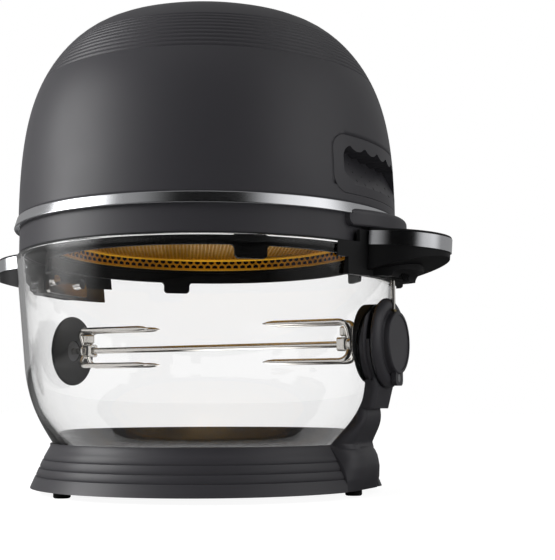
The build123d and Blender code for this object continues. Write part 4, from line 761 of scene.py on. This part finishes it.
# Idle side: a thin disc inside the glass, held by a small cap outside.
flangeLow, flangeHigh = span("idle_flange")
disc = {"face": flangeHigh[0], "back": flangeLow[0] + 1.0, "radius": 27.8, "thick": 2.6, "neck": 9.0,
        "bore": 8.2}
cap = {"end": span("idle_cap")[0][0], "radius": 9.5, "thick": 4.0, "pin": disc["bore"] - 0.2, "socket": 2.7,
       "socketDepth": 10.5}
rear, face = disc["face"] - disc["thick"], disc["face"] - 0.6
flangeProfile = roundedPath([
    (disc["bore"], disc["face"], 0.4), (disc["radius"], disc["face"], 1.2), (disc["radius"], rear, 0.8),
    (disc["neck"], rear - 1.5, 1.5), (disc["neck"], disc["back"], 0.2), (disc["bore"], disc["back"], 0.2),
])[::-1]
buildPiece("idleFlange", [(turned(flangeProfile, 192, spitLevel), True, True)],
           black, "bowl", "idle_flange")
bottom = disc["face"] - cap["socketDepth"]
capProfile = roundedPath([
    (0, bottom, 0), (cap["socket"], bottom, 0), (cap["socket"], face, 0.4), (cap["pin"], face, 0.5),
    (cap["pin"], cap["end"] + cap["thick"] + 0.6, 0), (cap["radius"], cap["end"] + cap["thick"], 0.5),
    (cap["radius"], cap["end"], 1.6), (0, cap["end"], 0),
], closed=False)[::-1]
buildPiece("idleCap", [(turned(capProfile, 128, spitLevel), False, True)],
           charcoal, "bowl", "idle_cap", merge=True)
print("idle side built")

# Spit forks: four tapered tines bent into a boss, with a square clamp beside it.
fork = {"tine": 2.0, "point": 0.02, "tip": 7.0, "bend": 6.0, "sink": 1.5, "boss": 6.4, "plate": 2.6,
        "bore": 2.7, "clampLength": 11.0, "clampHalf": 5.0,
        "tines": [(-9.0, 16.0), (9.0, 16.0), (-9.0, -12.0), (9.0, -12.0)]}  # (y, z) from the spit's axis


def carried(path, radii, across=20):
    # point(k, a) = path[k] + radii[k] * (n1[k] cos a + n2[k] sin a), with n1, n2 square to the path
    way = np.gradient(path, axis=0)
    way /= np.linalg.norm(way, axis=1)[:, None]
    side = np.cross(way, [0.31, 0.83, 0.46])  # any direction that no tine runs in
    side /= np.linalg.norm(side, axis=1)[:, None]
    up = np.cross(way, side)
    a = np.linspace(0, 2 * math.pi, across, endpoint=False)[None, :, None]
    return path[:, None] + radii[:, None, None] * (side[:, None] * np.cos(a) + up[:, None] * np.sin(a))


def tinePath(tip, end, y, z):
    # straight from the tip, then a bend of the given radius towards the spit's axis
    f = fork
    reach = math.hypot(y, z)
    bend = f["bend"]
    a = np.linspace(0, math.pi / 2, 9)[1:]
    straight = np.linspace(tip, end - bend, 14)[1:]
    x = np.concatenate([[tip, tip + 0.15], straight, end - bend + bend * np.sin(a), [end]])
    last = reach - f["boss"] + f["sink"]
    inset = np.concatenate([np.zeros(2 + len(straight)), bend * (1 - np.cos(a)), [last]])
    path = np.stack([x, y - y / reach * inset, spitLevel + z - z / reach * inset], -1)
    radii = np.minimum(f["tine"], 0.25 + (x - tip) / f["tip"] * f["tine"])
    radii[0] = f["point"]
    return path, radii


def clampGrid(outer):
    # a square bar with round corners, |y|^6 + |z|^6 = half^6, between two round bores
    f = fork
    start = outer - f["clampLength"]
    rows = [(0, start + 0.2), (0.9, start), (0.97, start + 0.15), (1.0, start + 0.6),
            (1.0, outer - f["plate"]), (0, outer - f["plate"])]  # (share of the square, x); 0 is the bore
    share, x = np.array(rows).T[:, :, None]
    a = np.linspace(0, 2 * math.pi, 96, endpoint=False)
    square = f["clampHalf"] / (np.abs(np.cos(a)) ** 6 + np.abs(np.sin(a)) ** 6) ** (1 / 6)
    radius = np.where(share > 0, square * share, f["bore"])
    return np.stack([x + 0 * a, radius * np.cos(a), spitLevel + radius * np.sin(a)], -1)


def addFork(name, node, body, facing):  # facing is 1 with the boss towards +X, -1 for its mirror image
    f = fork
    low, high = span(node)
    tip, outer = sorted((facing * low[0], facing * high[0]))
    parts = [(carried(*tinePath(tip, outer - f["tine"], y, z)), False, True) for y, z in f["tines"]]
    near = outer - f["plate"] - 0.6
    boss = roundedPath([(f["bore"], near, 0.2), (f["boss"], near, 0.8), (f["boss"], outer, 0.8),
                        (f["bore"], outer, 0.2)])
    parts += [(turned(boss, 64, spitLevel), True, True), (clampGrid(outer), True, True)]
    parts = [(grid * [facing, 1, 1], rows, columns) for grid, rows, columns in parts]
    buildPiece(name, parts, stainless, body, node, merge=True)


addFork("spitForkRight", "spit_fork_right", "fork_right", 1)
addFork("spitForkLeft", "spit_fork_left", "fork_left", -1)

# Thumb screws: a knurled head on a plain stem.
thumb = {"stem": 1.9, "grip": 7.4, "knurls": 26, "knurlDepth": 0.45, "rows": 0.8}


def addThumbScrew(name, node, body):
    # radius = profile radius - depth * grip * (0.5 + 0.5 cos(knurls a))^2, with grip 1 near the rim
    t = thumb
    low, high = span(node)
    x, top = (low[0] + high[0]) / 2, high[2]
    radius = (high[0] - low[0]) / 2
    under = top - t["grip"]
    profile = roundedPath([
        (0.02, low[2], 0), (t["stem"], low[2], 0.3), (t["stem"], under, 0.2), (radius - 1.6, under, 0.4),
        (radius - 0.2, under + 1.0, 0.3), (radius - 0.2, top - 1.2, 0.5), (radius - 1.4, top - 0.1, 0.5),
        (radius - 2.2, top - 0.7, 0.3), (0.02, top - 0.7, 0),
    ], closed=False, steps=3)
    fine = [profile[:1]]
    for before, after in zip(profile[:-1], profile[1:]):
        count = max(1, int(np.hypot(*(after - before)) / t["rows"]))
        fine.append(before + (after - before) * np.arange(1, count + 1)[:, None] / count)
    r, z = np.concatenate(fine).T[:, :, None]
    a = np.linspace(0, 2 * math.pi, t["knurls"] * 8, endpoint=False)
    grip = np.clip((r - radius + 1.0) / 0.6, 0, 1)
    r = r - t["knurlDepth"] * grip * (0.5 + 0.5 * np.cos(t["knurls"] * a)) ** 2
    grid = np.stack([x + r * np.cos(a), r * np.sin(a), z + 0 * a], -1)
    buildPiece(name, [(grid, False, True)], stainless, body, node, merge=True)


addThumbScrew("thumbScrewRight", "thumb_screw_right", "screw_right")
addThumbScrew("thumbScrewLeft", "thumb_screw_left", "screw_left")
print("forks and thumb screws built")
